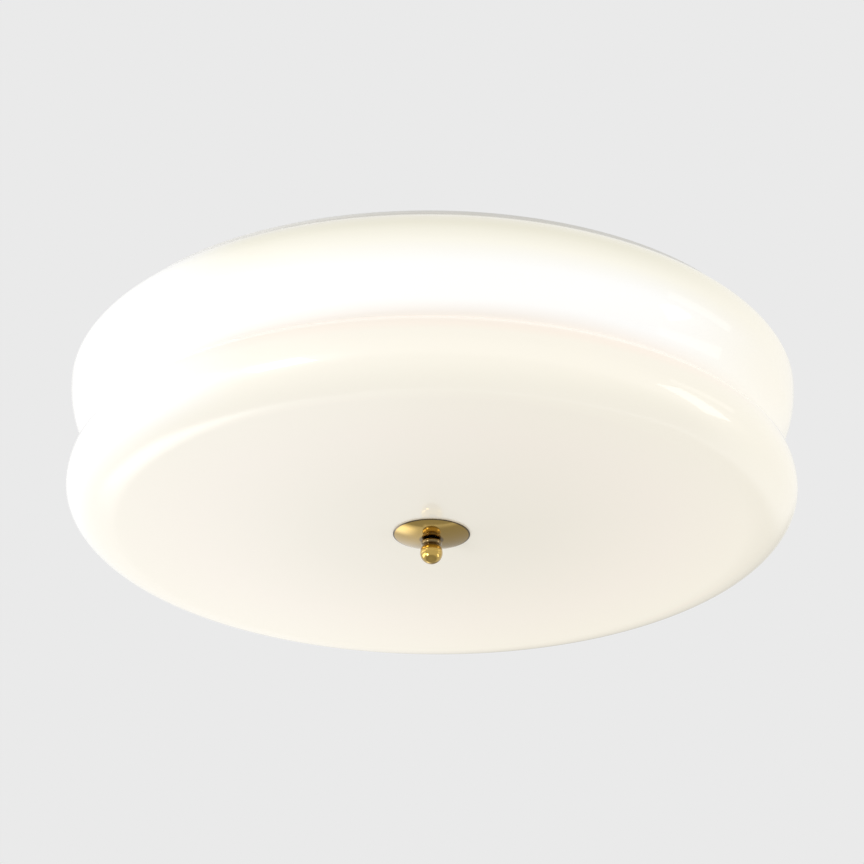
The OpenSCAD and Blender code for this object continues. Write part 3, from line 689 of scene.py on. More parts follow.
# Rod, nuts and washers down the middle
rodParts = {
    "pitch": 1.0, "threadDepth": 0.55, "radius": 3.0, "clearRadius": 3.3, "flats": 10.0,
    "thinNut": 3.2, "gasketWidth": 3.0,
}
low, high = nodeSpan("centre_rod")
rodThread = screwThread(rodParts["radius"], rodParts["threadDepth"], rodParts["pitch"], low.z, high.z)
makePiece("centreRod", [("zincPlatedSteel", rodThread)], "centre_rod", crease=50)
for name, node, height in (  # a height stands for two nuts, at both ends of their node
    ("strapNuts", "bracket_nuts", rodParts["thinNut"]), ("panNut", "pan_nut", 0), ("stopNut", "stop_nut", 0),
):
    low, high = nodeSpan(node)
    spans = [(low.z, low.z + height), (high.z - height, high.z)] if height else [(low.z, high.z)]
    nuts = [("zincPlatedSteel", hexNut(*span, rodParts["flats"], rodParts["radius"])) for span in spans]
    makePiece(name, nuts, node, crease=25)

washers = {  # node: name, finish, body, radius of its edges
    "pan_washer": ("panWasher", "zincPlatedSteel", "root", 0.25),
    "inner_plate": ("stopWasher", "zincPlatedSteel", "root", 0.25),
    "inner_washer": ("innerSoftWasher", "mouldedSilicone", "root", 0.4),
    "glass_washer": ("capSoftWasher", "mouldedSilicone", "cap", 0.3),
    "hole_sleeve": ("holeSleeve", "mouldedSilicone", "shade", 0.4),
}
for node, (name, finish, body, edge) in washers.items():
    low, high = nodeSpan(node)
    washer = ring(low.z, high.z, high.x, rodParts["clearRadius"], edge)
    makePiece(name, [(finish, washer)], node, body)
low, high = nodeSpan("rim_gasket")
gasket = ring(low.z, high.z, high.x, high.x - rodParts["gasketWidth"], 0.25, 192)
makePiece("rimGasket", [("mouldedSilicone", gasket)], "rim_gasket")

# Strap on the ceiling
strap = {
    "sheet": 2.0, "drop": 7.0, "footStart": 47.5, "bend": 1.6, "arris": 0.3,
    "slotWidth": 5.2, "slotLength": 14.0, "slotAt": 60.0, "studHole": 2.3, "studAt": 38.0,
}
strapLow, strapHigh = nodeSpan("mounting_bracket")
footEnd, footStart, drop, sheet = strapHigh.y, strap["footStart"], strap["drop"], strap["sheet"]
halfStrap = [
    (footStart, -drop), (footStart, 0), (footEnd, 0), (footEnd, -sheet),
    (footStart + sheet, -sheet), (footStart + sheet, -drop - sheet),
]
strapOutline = halfStrap + [(-y, z) for y, z in halfStrap[::-1]]
bends = [strap["bend"] if abs(y) < footEnd - 0.01 else 0 for y, z in strapOutline]  # sheared ends stay square
upright = Matrix(((0, 0, 1, 0), (1, 0, 0, 0), (0, 1, 0, 0), (0, 0, 0, 1)))  # outline x, y, z to y, z, x
strapShape = place(prism(folded(strapOutline, bends), strapLow.x, strapHigh.x), upright)
slotRun, slotEnd = (strap["slotLength"] - strap["slotWidth"]) / 2, strap["slotWidth"] / 2
slotOutline = [
    (x, y + side * slotRun)
    for side, start in ((1, 0), (-1, 180))
    for x, y in arc(0, 0, slotEnd, slotEnd, start, start + 180, 14)
]
through = (-20, 5)  # heights that the cutters reach
cutters = [rod(rodParts["clearRadius"], *through)]
for side in (-1, 1):
    cutters.append(shift(prism(slotOutline, *through), y=side * strap["slotAt"]))
    cutters.append(shift(rod(strap["studHole"], *through), y=side * strap["studAt"]))
strapShape = bevelled(cutAway(strapShape, *cutters), strap["arris"])
makePiece("ceilingStrap", [("zincPlatedSteel", strapShape)], "mounting_bracket")

# Pan screws, their washers and thumb nuts
stud = {
    "radius": 2.0, "pitch": 0.7, "threadDepth": 0.4, "headRadius": 4.0, "headHeight": 2.4,
    "headEdge": 0.6, "slot": 1.0, "slotDepth": 1.0, "washerRadius": 4.5, "washerBore": 2.3,
    "gripRadius": 5.5, "gripFace": 4.3, "collarRadius": 4.3, "collar": 2.0, "sink": 0.4,
    "grooves": 20, "grooveDepth": 0.45,
}
sides = [Matrix.Translation((0, side * strap["studAt"], 0)) for side in (-1, 1)]


def slottedScrew(low, high):
    # A low domed head with a sawn slot, on a threaded shank
    reach, edge, head = stud["headRadius"], stud["headEdge"], high - stud["headHeight"]
    dome = [(0, head), (reach, head), *arc(0, head + edge, reach, high - head - edge, 0, 90, 10)]
    half = stud["slot"] / 2
    saw = block((-half, half), (-reach - 1, reach + 1), (high - stud["slotDepth"], high + 1))
    shank = screwThread(stud["radius"], stud["threadDepth"], stud["pitch"], low, head + 0.2)
    return cutAway(spin(dome, 48), saw), shank


low, high = nodeSpan("pan_screws")
screw = slottedScrew(low.z, high.z)
makePiece(
    "panScrews", [("zincPlatedSteel", place(s, m)) for m in sides for s in screw],
    "pan_screws", crease=45,
)
low, high = nodeSpan("screw_washers")
washer = ring(low.z, high.z, stud["washerRadius"], stud["washerBore"], 0.25, 64)
makePiece("screwWashers", [("zincPlatedSteel", place(washer, m)) for m in sides], "screw_washers")


def knurled(inset, z):
    # A ring of the grip with its straight grooves
    def spot(a):
        bite = max(0.0, cos(a * stud["grooves"])) ** 2
        return stud["gripRadius"] - inset - stud["grooveDepth"] * bite, z
    return spot


low, high = nodeSpan("thumb_nuts")
bore, collar, sink = stud["radius"], stud["collarRadius"], stud["sink"]
collarLow = high.z - stud["collar"]
thumbOutline = [
    (bore, low.z + sink), (bore + sink, low.z), (stud["gripFace"], low.z), knurled(0.5, low.z + 0.15),
    knurled(0, low.z + 0.7), knurled(0, collarLow - 0.7), knurled(0.5, collarLow - 0.1),
    (collar, collarLow), (collar, high.z - sink), (collar - sink, high.z), (bore + sink, high.z),
    (bore, high.z - sink),
]
thumb = spin(thumbOutline, stud["grooves"] * 10)
makePiece("thumbNuts", [("nickelPlate", place(thumb, m)) for m in sides], "thumb_nuts", crease=30)

# Directions of the three lampholders, shared by the pan and what hangs from it
lamps = {
    "angles": (60, 180, 300), "axisZ": -57.0, "footStart": 22.0, "footLength": 28.0, "width": 22.0,
    "plate": 1.5, "screwShares": (0.4, 0.8), "grommetAt": 14.0,
}
outward = [Matrix.Rotation(radians(a), 4, "Z") for a in lamps["angles"]]
alongX = Matrix.Rotation(pi / 2, 4, "Y")
lampAxes = [m @ Matrix.Translation((0, 0, lamps["axisZ"])) @ alongX for m in outward]
footScrews = [lamps["footStart"] + share * lamps["footLength"] for share in lamps["screwShares"]]

# The spun pan
pan = {
    "sheet": 1.0, "wall": 179.0, "flangeZ": -3.4, "round": 6.0, "cove": 1.2, "hem": 1.6, "hemInside": 0.8,
    "edge": 0.3, "floorRings": (0, 60, 120),
    "studHole": 2.3, "earthAt": 60.0, "grommetHole": 4.3, "screwHole": 1.6,
}
panLow, panHigh = nodeSpan("ceiling_pan")
wall, panT, flange, panRound = (pan[k] for k in ("wall", "sheet", "flangeZ", "round"))
cove, hem, fold, edge = (pan[k] for k in ("cove", "hem", "hemInside", "edge"))
floorZ, rimX, rimZ = panLow.z, panHigh.x, panHigh.z
insideX = rimX - panT
panOutline = [
    *[(r, floorZ) for r in pan["floorRings"]],
    *arc(wall - panRound, floorZ + panRound, panRound, panRound, -90, 0, 12),
    *arc(wall + cove, flange - cove, cove, cove, 180, 90, 5),
    *arc(rimX - hem, flange + hem, hem, hem, -90, 0, 6),
    (rimX, rimZ - edge), (rimX - edge, rimZ), (insideX + edge, rimZ), (insideX, rimZ - edge),
    *arc(insideX - fold, flange + panT + fold, fold, fold, 0, -90, 5),
    *arc(wall + cove, flange - cove, cove + panT, cove + panT, 90, 180, 5),
    *arc(wall - panRound, floorZ + panRound, panRound - panT, panRound - panT, 0, -90, 12),
    *[(r, floorZ + panT) for r in reversed(pan["floorRings"])],
]


def punched(radius, x=0, y=0):
    # What cuts a hole in the pan's floor
    return shift(rod(radius, floorZ - 2, floorZ + 3), x, y)


holes = [punched(rodParts["clearRadius"])]
holes += [punched(pan["studHole"], y=side * strap["studAt"]) for side in (-1, 1)]
holes.append(punched(pan["studHole"], pan["earthAt"]))
for turn in outward:
    holes.append(place(punched(pan["grommetHole"], lamps["grommetAt"]), turn))
    holes += [place(punched(pan["screwHole"], reach), turn) for reach in footScrews]
panShape = cutAway(spin(panOutline, 192), *holes)
makePiece("spunPan", [("powderCoatedSteel", panShape)], "ceiling_pan", crease=30)
print("glass, finial, strap and pan made")

# Terminal block
terminals = {
    "sleeveStart": 5.2, "sleeveEnd": 19.0, "sleeveFloor": 1.0, "screwAt": 14.0, "screwRadius": 1.5,
    "boreRadius": 1.8, "sleeveWall": 0.7, "gap": 0.1, "grooveHalf": 0.6, "grooveRise": 3.0, "arris": 0.5,
    "saw": (0.3, 0.8),  # half width and depth of the screws' slots
}
blockLow, blockHigh = nodeSpan("terminal_block")
poles = [k * (blockHigh.y - blockLow.y) / 3 for k in (-1, 0, 1)]
boreZ = (blockLow.z + blockHigh.z) / 2
sleeveStart, sleeveEnd, bore, gap = (terminals[k] for k in ("sleeveStart", "sleeveEnd", "boreRadius", "gap"))
sleeveRadius, screwRadius = bore + terminals["sleeveWall"], terminals["screwRadius"]
screwX = blockLow.x + terminals["screwAt"]
half, grooveLow = terminals["grooveHalf"], boreZ + terminals["grooveRise"]
grooves = [
    block((blockLow.x - 1, blockHigh.x + 1), (y - half, y + half), (grooveLow, blockHigh.z + 1))
    for y in ((poles[0] + poles[1]) / 2, (poles[1] + poles[2]) / 2)
]
tunnel = place(rod(sleeveRadius + gap, blockLow.x + sleeveStart - 0.2, blockHigh.x + 5), alongX)
well = rod(screwRadius + gap, boreZ, blockHigh.z + 2)
bores = [s for y in poles for s in (shift(tunnel, y=y, z=boreZ), shift(well, x=screwX, y=y))]
body = cutAway(block(*zip(blockLow, blockHigh)), *grooves)
body = cutAway(bevelled(body, terminals["arris"]), *bores)
makePiece("terminalBlock", [("mouldedResin", body)], "terminal_block")

sleeveFloor = sleeveStart + terminals["sleeveFloor"]
sleeveOutline = [
    (0, sleeveStart), (sleeveRadius, sleeveStart), (sleeveRadius, sleeveEnd), (bore, sleeveEnd),
    (bore, sleeveFloor), (0, sleeveFloor),
]
sleeve = place(spin(softened(sleeveOutline, 0.2), 48), alongX)
makePiece(
    "terminalSleeves", [("rolledBrass", shift(sleeve, x=blockLow.x, y=y, z=boreZ)) for y in poles],
    "terminal_sleeves",
)
low, high = nodeSpan("terminal_screws")
half, depth = terminals["saw"]
screwOutline = [(0, low.z), (screwRadius, low.z), (screwRadius, high.z), (0, high.z)]
screw = cutAway(
    spin(softened(screwOutline, 0.25), 32), block((-2, 2), (-half, half), (high.z - depth, high.z + 1))
)
makePiece(
    "terminalScrews", [("zincPlatedSteel", shift(screw, x=screwX, y=y)) for y in poles],
    "terminal_screws",
)

# Earth screw and its nut
low, high = nodeSpan("earth_screw")
makePiece(
    "earthScrew", [("zincPlatedSteel", shift(s, x=pan["earthAt"])) for s in slottedScrew(low.z, high.z)],
    "earth_screw", crease=45,
)
low, high = nodeSpan("earth_nut")
earthFlats = 7.0
nut = shift(hexNut(low.z, high.z, earthFlats, stud["radius"]), x=pan["earthAt"])
makePiece("earthNut", [("zincPlatedSteel", nut)], "earth_nut", crease=25)

# Grommets in the pan
grommet = {"bore": 3.2, "neck": 4.2, "lip": 5.6, "edge": 0.5}
bore, neck, lip = (grommet[k] for k in ("bore", "neck", "lip"))
low, high = nodeSpan("wire_grommets")
grommetOutline = [
    (bore, low.z), (lip, low.z), (lip, floorZ), (neck, floorZ), (neck, floorZ + panT),
    (lip, floorZ + panT), (lip, high.z), (bore, high.z),
]
grommetShape = shift(spin(softened(grommetOutline, grommet["edge"], 4), 64), x=lamps["grommetAt"])
makePiece("leadGrommets", [("mouldedRubber", place(grommetShape, m)) for m in outward], "wire_grommets")

# Lampholder brackets and their fixings
bracket = {"plateEnd": -67.0, "nippleHole": 5.15, "screwHole": 1.6, "bend": 2.2, "clip": 4.2, "arris": 0.25}
footX, plate, plateEnd, clip = lamps["footStart"], lamps["plate"], bracket["plateEnd"], bracket["clip"]
footEndX = footX + lamps["footLength"]
bracketOutline = [  # x and z of the folded sheet
    (footX, plateEnd), (footX, floorZ), (footEndX, floorZ), (footEndX, floorZ - plate),
    (footX + plate, floorZ - plate), (footX + plate, plateEnd),
]
bends = [0, bracket["bend"], 0, 0, bracket["bend"] - plate, 0]
acrossY = Matrix(((1, 0, 0, 0), (0, 0, 1, 0), (0, 1, 0, 0), (0, 0, 0, 1)))  # outline x, y, z to x, z, y
halfWidth = lamps["width"] / 2
sheetShape = place(prism(folded(bracketOutline, bends), -halfWidth, halfWidth), acrossY)
through = (footX - 2, footX + 4)
bracketCuts = [shift(place(rod(bracket["nippleHole"], *through), alongX), z=lamps["axisZ"])]
bracketCuts += [shift(rod(bracket["screwHole"], floorZ - 4, floorZ + 2), x=reach) for reach in footScrews]
clipped = place(prism([(-clip, 0), (0, clip), (clip, 0), (0, -clip)], *through), alongX)
bracketCuts += [shift(clipped, y=side * halfWidth, z=plateEnd) for side in (-1, 1)]
bracketShape = bevelled(cutAway(sheetShape, *bracketCuts), bracket["arris"])
for k, turn in enumerate(outward, 1):
    plated = [("zincPlatedSteel", place(bracketShape, turn))]
    makePiece(f"lampBracket{k}", plated, f"holder_bracket_{k}")

crossScrew = {
    "headRadius": 2.8, "crossLength": 3.4, "crossWidth": 0.6, "crossDepth": 0.9,
    "radius": 1.5, "threadDepth": 0.3, "pitch": 0.5,
}
low, high = nodeSpan("bracket_screws")
headTop = floorZ - plate
dome = spin([(0, headTop), *arc(0, headTop, crossScrew["headRadius"], headTop - low.z, 0, -90, 8)], 40)
arms = [(-crossScrew[k] / 2, crossScrew[k] / 2) for k in ("crossLength", "crossWidth")]
depths = (low.z - 1, low.z + crossScrew["crossDepth"])
shank = (crossScrew["radius"], crossScrew["threadDepth"], crossScrew["pitch"], headTop - 0.1, high.z)
screwShapes = [
    cutAway(dome, block(*arms, depths), block(*arms[::-1], depths)), screwThread(*shank, segments=18),
]
makePiece(
    "bracketScrews",
    [
        ("zincPlatedSteel", place(shift(s, x=reach), turn))
        for turn in outward for reach in footScrews for s in screwShapes
    ],
    "bracket_screws", crease=45,
)

nipple = {
    "start": 18.0, "end": 28.5, "radius": 5.0, "threadDepth": 0.45, "bore": 3.5,
    "nutHeight": 3.0, "nutFlats": 14.0,
}
nippleR = nipple["radius"]
nippleShape = ring(nipple["start"], nipple["end"], nippleR - nipple["threadDepth"], nipple["bore"], 0.3, 48)
makePiece(
    "holderNipples", [("zincPlatedSteel", place(nippleShape, m)) for m in lampAxes], "holder_nipples",
)
nippleNut = hexNut(footX - nipple["nutHeight"], footX, nipple["nutFlats"], nippleR)
makePiece(
    "nippleNuts", [("zincPlatedSteel", place(nippleNut, m)) for m in lampAxes],
    "nipple_nuts", crease=25,
)

# Lampholders
holder = {
    "start": 23.5, "domeRadius": 19.0, "domeEnd": 44.0, "back": 4.0, "wall": 2.5, "hub": 2.0,
    "radius": 20.0, "skirtEnd": 71.5, "edge": 1.2, "bore": 14.3, "base": 1.0, "contactRadius": 4.0,
    "flutes": 36, "fluteDepth": 0.45, "fluteStart": 4.2, "fluteEnd": 6.2,
    "shellStart": 48.0, "shellEnd": 70.0, "shellInner": 13.4, "shellOuter": 13.8, "shellWave": 0.38,
}
domeR, domeEnd, domeRound = holder["domeRadius"], holder["domeEnd"], holder["back"]
wall, hub, back = holder["wall"], holder["hub"], holder["start"] + holder["back"]
domeOutline = [
    (nippleR, holder["start"]), *arc(domeR - domeRound, back, domeRound, domeRound, -90, 0, 10),
    (domeR, domeEnd), (domeR - wall, domeEnd), (domeR - wall, back), (nippleR + hub, back),
    (nippleR + hub, back + hub), (nippleR, back + hub),
]
domeShape = spin(softened(domeOutline, 0.3), 96)

skirtR, skirtLow, skirtHigh = holder["radius"], holder["domeEnd"], holder["skirtEnd"]
bore, base, edge = holder["bore"], skirtLow + holder["base"], holder["edge"]


def fluted(z):
    # A ring of the skirt with its finger flutes
    return lambda a: (skirtR - holder["fluteDepth"] * (0.5 - 0.5 * cos(holder["flutes"] * a)), z)


skirtOutline = [
    (0, skirtLow), (skirtR - 0.4, skirtLow), (skirtR, skirtLow + 0.4), (skirtR, skirtLow + 3),
    fluted(skirtLow + holder["fluteStart"]), fluted(skirtHigh - holder["fluteEnd"]), (skirtR, skirtHigh - 5),
    *arc(skirtR - edge, skirtHigh - edge, edge, edge, 0, 90, 6),
    (bore + 0.5, skirtHigh), (bore, skirtHigh - 0.5), (bore, base), (0, base),
]
skirtShape = spin(skirtOutline, holder["flutes"] * 8)

bulb = {
    "capRadius": 13.2, "capStart": 49.2, "capEnd": 72.7, "wave": 0.6, "pitch": 3.62, "turns": 5,
    "tipStart": 46.2, "neckRadius": 13.8, "collar": 2.0,
    "globeRadius": 30.0, "globeWall": 1.5, "globeCentre": 124.2, "globeCut": 36,
    # Contact and insulator: radius, and height above the start of the tip
    "tip": [(0, 0), (1.8, 0.05), (3.2, 0.3), (4.4, 0.9), (4.8, 1.5), (0, 1.5)],
    "insulator": [
        (0, 1.5), (6, 1.5), (6.4, 1.7), (6.9, 2.1), (7.6, 2.2), (8.6, 2.7), (9.0, 2.95), (0, 2.95),
    ],
}
threadStart = bulb["capStart"] + 2
threadEnd = threadStart + bulb["turns"] * bulb["pitch"]


def rolled(radius, z, depth):
    # A ring of a rolled right-hand thread, in step with the bulb's cap
    def spot(a):
        fade = min(1.0, max(0.0, (z - threadStart) / 2), max(0.0, (threadEnd - z) / 2))
        phase = 2 * pi * (z - threadStart) / bulb["pitch"] - a
        return radius + depth * fade * (0.5 - 0.5 * cos(phase)), z
    return spot


shellRows = evenly(holder["shellStart"], holder["shellEnd"], 60)
shellShape = spin(
    [rolled(holder["shellOuter"], z, holder["shellWave"]) for z in shellRows]
    + [rolled(holder["shellInner"], z, holder["shellWave"]) for z in reversed(shellRows)], 64,
)
for k, axis in enumerate(lampAxes, 1):
    dome, skirt = (("mouldedResin", place(shape, axis)) for shape in (domeShape, skirtShape))
    shell = ("rolledBrass", place(shellShape, axis))
    makePiece(f"holderDome{k}", [dome], f"holder_dome_{k}")
    makePiece(f"holderSkirt{k}", [skirt], f"holder_skirt_{k}", crease=40)
    makePiece(f"threadShell{k}", [shell], f"thread_shell_{k}", crease=60)
contactR = holder["contactRadius"]
contactOutline = [
    (0, base), *arc(contactR - 0.3, base + 0.3, 0.3, 0.3, -90, 0, 3),
    *arc(contactR - 0.5, base + 0.5, 0.5, 0.5, 0, 90, 4), (0, base + 1),
]
contact = spin(contactOutline, 48)
makePiece("centreContacts", [("rolledBrass", place(contact, m)) for m in lampAxes], "centre_contacts")

# Bulbs
capR, capStart, capEnd, neckR = (bulb[k] for k in ("capRadius", "capStart", "capEnd", "neckRadius"))
capRoot = capR - bulb["wave"]
capShape = spin(
    [
        (0, capStart), (capR - 3.4, capStart), (capR - 2.8, capStart + 0.3),
        (capRoot - 0.25, threadStart - 0.35),
        *[rolled(capRoot, z, bulb["wave"]) for z in evenly(threadStart, threadEnd, 60)],
        (capRoot, capEnd - 1.6), (capR - 0.1, capEnd - 1.0), (capR - 0.1, capEnd), (0, capEnd),
    ], 72,
)
tipShape, insulatorShape = (
    spin([(r, bulb["tipStart"] + rise) for r, rise in bulb[part]], segments)
    for part, segments in (("tip", 48), ("insulator", 64))
)
globeR, centre, cut = (bulb[k] for k in ("globeRadius", "globeCentre", "globeCut"))
globeBase, globeBaseR = centre - globeR * sin(radians(cut)), globeR * cos(radians(cut))
neckEnd = capEnd + bulb["collar"]
housingLine = curve(
    (neckR, neckEnd), (neckR, neckEnd + 8), (globeBaseR - 4, globeBase - 5.5), (globeBaseR, globeBase), 24
)
housingShape = spin(
    [
        (0, capEnd), (neckR - 0.3, capEnd), (neckR, capEnd + 0.3), (neckR, neckEnd - 0.6),
        (neckR - 0.3, neckEnd - 0.3), *housingLine[:-1],
        (globeBaseR - 0.3, globeBase - 0.5), (globeBaseR - 0.3, globeBase), (0, globeBase),
    ], 96,
)
innerR = globeR - bulb["globeWall"]
innerCut = degrees(asin(globeR * sin(radians(cut)) / innerR))
globeShape = spin(
    arc(0, centre, globeR, globeR, -cut, 90, 36) + arc(0, centre, innerR, innerR, 90, -innerCut, 30), 96
)
for k, axis in enumerate(lampAxes, 1):
    tip, insulator, cap, housing, globe = (
        (finish, place(shape, axis)) for finish, shape in (
            ("tinnedContact", tipShape), ("pressedBlackGlass", insulatorShape), ("nickelPlate", capShape),
            ("mattBulbPlastic", housingShape), ("opalDiffuser", globeShape),
        )
    )
    makePiece(f"bulbTip{k}", [tip, insulator], f"bulb_tip_{k}", f"bulb_travel_{k}")
    makePiece(f"bulbCap{k}", [cap], f"bulb_cap_{k}", f"bulb_{k}", crease=50)
    makePiece(f"bulbHousing{k}", [housing], f"bulb_housing_{k}", f"bulb_{k}")
    makePiece(f"bulbGlobe{k}", [globe], f"bulb_globe_{k}", f"bulb_{k}")
print("lampholders and bulbs made")

# Leads from the holders to the block
leads = {"radius": 2.3, "steps": 12, "holderIn": 3.0, "bracketOut": 3.0, "blockGap": 0.2}
grommetAt, axisZ = lamps["grommetAt"], lamps["axisZ"]
rise = [  # distance outward and height on the way from the holder to the pan
    (holder["start"] + leads["holderIn"], axisZ), (footX - leads["bracketOut"], axisZ),
    (grommetAt + 1.6, axisZ + 1.8), (grommetAt, axisZ + 6), (grommetAt, (axisZ + floorZ) / 2),
    (grommetAt, floorZ - 3), (grommetAt, floorZ + panT + 0.6),
]
leadEnd = blockLow.x - leads["blockGap"]
runs = [  # from there over the pan to the block
    [(11, 11, -16.2), (16.5, poles[2], boreZ), (leadEnd, poles[2], boreZ)],
    [
        (-12, -3, -17.3), (-7, -6.8, -17.1), (0, -7.2, -17.1), (8, -4.6, -16.4), (16, -0.8, boreZ),
        (leadEnd, 0, boreZ),
    ],
    [(11, -11, -16.2), (16.5, poles[0], boreZ), (leadEnd, poles[0], boreZ)],
]


def smoothRoute(stops, steps):
    # A smooth curve through the stops
    path = []
    last = len(stops) - 1
    for k in range(last):
        a, b, c, d = (stops[min(max(k + n, 0), last)] for n in (-1, 0, 1, 2))
        square, cube = 2 * a - 5 * b + 4 * c - d, 3 * b - a - 3 * c + d
        for t in evenly(0, 1, steps)[:-1]:
            path.append(0.5 * (2 * b + (c - a) * t + square * t * t + cube * t**3))
    return path + [stops[last]]


for k, (turn, run) in enumerate(zip(outward, runs), 1):
    stops = [turn @ Vector((reach, 0, z)) for reach, z in rise] + [Vector(p) for p in run]
    lead = sweep(smoothRoute(stops, leads["steps"]), leads["radius"])
    makePiece(f"holderLead{k}", [("pvcSheath", lead)], f"holder_lead_{k}")
print("leads made")

# Studio: floor, cards, lamps and world
studio = {
    "backdrop": "EAEAEA",
    "floor": ("D8D8D8", "DADADA"),
    "speck": 40.0,  # mm between the floor's faint specks
    "floorZ": -2750.0,
    "floorHalf": 4000.0,
    "fade": (2200.0, 3800.0),  # mm from its middle where the floor turns into the backdrop
    "fill": 0.6,
}


def stageSheet(name, corners, material):
    # A flat sheet of the studio, which isn't part of the light
    mesh = meshOf([(corners, [[0, 1, 2, 3]])], name)
    mesh.materials.append(material)
    piece = bpy.data.objects.new(name, mesh)
    bpy.context.collection.objects.link(piece)
    return piece


def straightRays(tree):
    # 1 for rays that look at a surface directly, in a mirror or through glass
    rays = addNode(tree, "LightPath").outputs
    straight = rays["Is Camera Ray"]
    for other in ("Is Glossy Ray", "Is Transmission Ray"):
        straight = addNode(tree, "Math", {"operation": "MAXIMUM"}, {0: straight, 1: rays[other]})
    return straight


material = bpy.data.materials.new("paintedFloor")
tree = clearedTree(material)
where = addNode(tree, "TexCoord").outputs["Object"]
speck = addNode(
    tree, "TexNoise", {"Scale": perMetre(studio["speck"]), "Detail": 3.0}, {"Vector": where}
)
paint = addNode(tree, "ValToRGB", {"stops": list(zip((0.3, 0.7), studio["floor"]))}, {"Fac": speck})
matt = addNode(tree, "BsdfDiffuse", links={"Color": paint})
far = addNode(tree, "Emission", {"Color": studio["backdrop"]})
reach = addNode(tree, "VectorMath", {"operation": "LENGTH"}, {0: where})
start, end = studio["fade"]
fade = addNode(
    tree, "MapRange",
    {"From Min": start * mm, "From Max": end * mm, "interpolation_type": "SMOOTHSTEP"},
    {"Value": reach.outputs["Value"]},
)
share = addNode(tree, "Math", {"operation": "MULTIPLY"}, {0: fade, 1: straightRays(tree)})
mixed = addNode(tree, "MixShader", links={0: share, 1: matt, 2: far})
addNode(tree, "OutputMaterial", links={"Surface": mixed})
half = studio["floorHalf"]
floorCorners = [Vector((x * half, y * half, 0)) for x, y in ((-1, -1), (1, -1), (1, 1), (-1, 1))]
stageSheet("floor", floorCorners, material).location.z = studio["floorZ"] * mm

# Soft cards behind the lamp, seen only in reflections: the grey one gives glass and brass their darker side,
# the white one a bright side without a hard edge. Reaches along X and Z and width of the soft edges in mm
cards = {
    "greyCard": {
        "tone": "AFADA7", "strength": 1.0,
        "X": (-260.0, 1300.0), "Z": (-2700.0, 700.0), "soft": {"X": 420.0, "Z": 600.0},
    },
    "whiteCard": {
        "tone": "FFFFFF", "strength": 2.2,
        "X": (-1360.0, -260.0), "Z": (-2320.0, -920.0), "soft": {"X": 430.0, "Z": 520.0},
    },
}
cardDistance = 2000.0
for name, card in cards.items():
    material = bpy.data.materials.new(name)
    tree = clearedTree(material)
    where = addNode(tree, "TexCoord").outputs["Object"]
    axes = addNode(tree, "SeparateXYZ", links={"Vector": where}).outputs
    inside = [  # 0 at each edge of the card, 1 so many millimetres inside it
        addNode(
            tree, "MapRange",
            {"From Min": edge * mm, "From Max": (edge + soft) * mm, "interpolation_type": "SMOOTHSTEP"},
            {"Value": axes[axis]},
        )
        for axis, width in card["soft"].items() for edge, soft in zip(card[axis], (width, -width))
    ]
    depth = inside[0]
    for share in inside[1:]:
        depth = addNode(tree, "Math", {"operation": "MULTIPLY"}, {0: depth, 1: share})
    tones = addNode(
        tree, "Mix", {"data_type": "RGBA", 6: studio["backdrop"], 7: card["tone"]}, {0: depth}
    )
    level = addNode(tree, "MapRange", {"To Min": 1.0, "To Max": card["strength"]}, {"Value": depth})
    paper = addNode(tree, "Emission", links={"Color": tones.outputs[2], "Strength": level})
    addNode(tree, "OutputMaterial", links={"Surface": paper})
    (left, right), (bottom, top) = card["X"], card["Z"]
    corners = [(left, bottom), (right, bottom), (right, top), (left, top)]
    sheet = stageSheet(name, [Vector((x, cardDistance, z)) for x, z in corners], material)
    sheet.visible_camera = sheet.visible_diffuse = False
    sheet.visible_shadow = sheet.visible_transmission = False

world = bpy.data.worlds.new("studio")
bpy.context.scene.world = world
tree = clearedTree(world)
seen = addNode(tree, "Background", {"Color": studio["backdrop"], "Strength": 1.0})
fill = addNode(tree, "Background", {"Color": (1, 1, 1, 1), "Strength": studio["fill"]})
mixed = addNode(tree, "MixShader", links={0: straightRays(tree), 1: fill, 2: seen})
addNode(tree, "OutputWorld", links={"Surface": mixed})


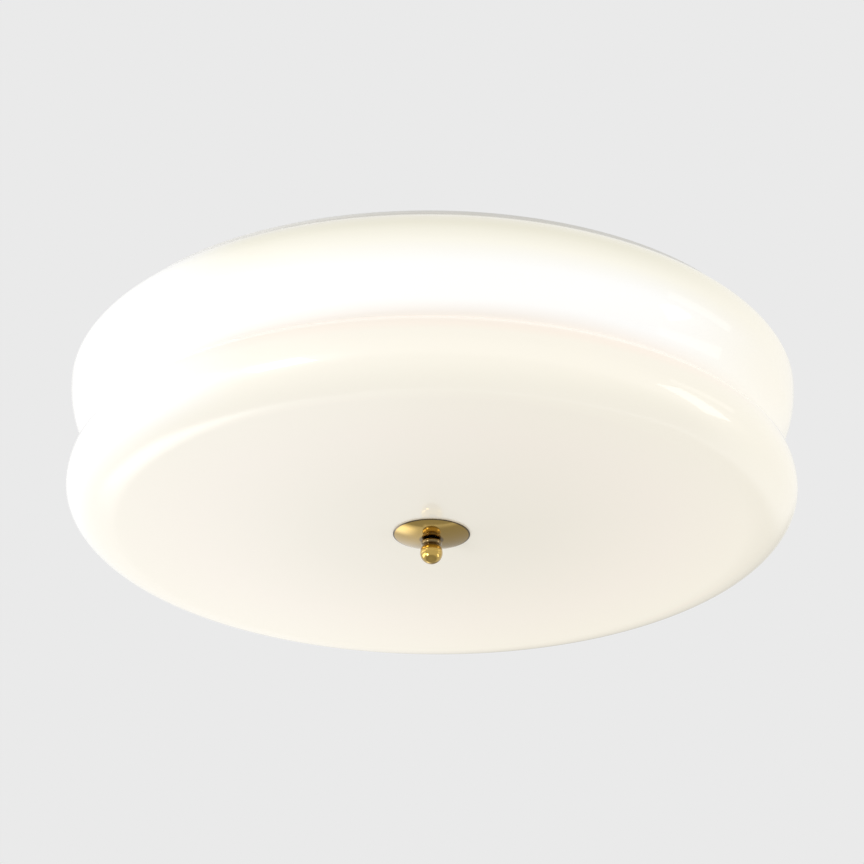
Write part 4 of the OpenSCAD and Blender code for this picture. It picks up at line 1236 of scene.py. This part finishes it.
def addLamp(name, spot, target, size, radiance, upward=(0, 0, 1)):
    # A soft rectangular lamp; its power follows from how bright its face is to be
    light = bpy.data.lights.new(name, "AREA")
    light.shape = "RECTANGLE"
    light.size, light.size_y = size[0] * mm, size[1] * mm
    light.energy = radiance * pi * light.size * light.size_y
    lamp = bpy.data.objects.new(name, light)
    bpy.context.collection.objects.link(lamp)
    back = (Vector(spot) - Vector(target)).normalized()
    side = Vector(upward).cross(back).normalized()
    over = back.cross(side)
    turn = Matrix((side, over, back)).transposed().to_4x4()
    lamp.matrix_world = Matrix.Translation(Vector(spot) * mm) @ turn
    lamp.visible_camera = False
    return lamp


addLamp("keySoftbox", (-1700, -1500, -1400), (0, 0, -60), (800, 800), 7.2)
addLamp("leftWindow", (-1930, 0, -680), (0, 0, -60), (1900, 700), 2.5)
addLamp("farSoftbox", (-780, 2000, -1620), (0, 0, -99), (560, 700), 3.2).visible_glossy = False
addLamp("lowWindow", (1930, -160, -850), (120, -140, -85), (1020, 470), 2.0, upward=(-0.3, 0.3, 1))
addLamp("highWindow", (1950, -230, -40), (150, -140, -20), (900, 330), 0.6)

# Camera
view = {
    "spot": (0.0, -1824.7, -897.4),
    "target": (0.0, 0.0, -78.5),
    "raise": 36.8,  # the frame's middle lies above and to the left of the target
    "aside": -0.19,
    "lens": 151.93,
    "roll": 0.47,
}
spot, target = Vector(view["spot"]), Vector(view["target"])
forward = (target - spot).normalized()
right = forward.cross(Vector((0, 0, 1))).normalized()
aim = target + view["raise"] * right.cross(forward) + view["aside"] * right
camera = bpy.data.objects.new("camera", bpy.data.cameras.new("camera"))
camera.data.lens = view["lens"]
camera.data.sensor_width = 36.0
camera.data.clip_end = 50.0
bpy.context.collection.objects.link(camera)
turn = (aim - spot).to_track_quat("-Z", "Y").to_matrix().to_4x4()
turn = turn @ Matrix.Rotation(radians(view["roll"]), 4, "Z")
camera.matrix_world = Matrix.Translation(spot * mm) @ turn
bpy.context.scene.camera = camera
bpy.context.scene.view_settings.view_transform = "Standard"
print("studio and camera made")
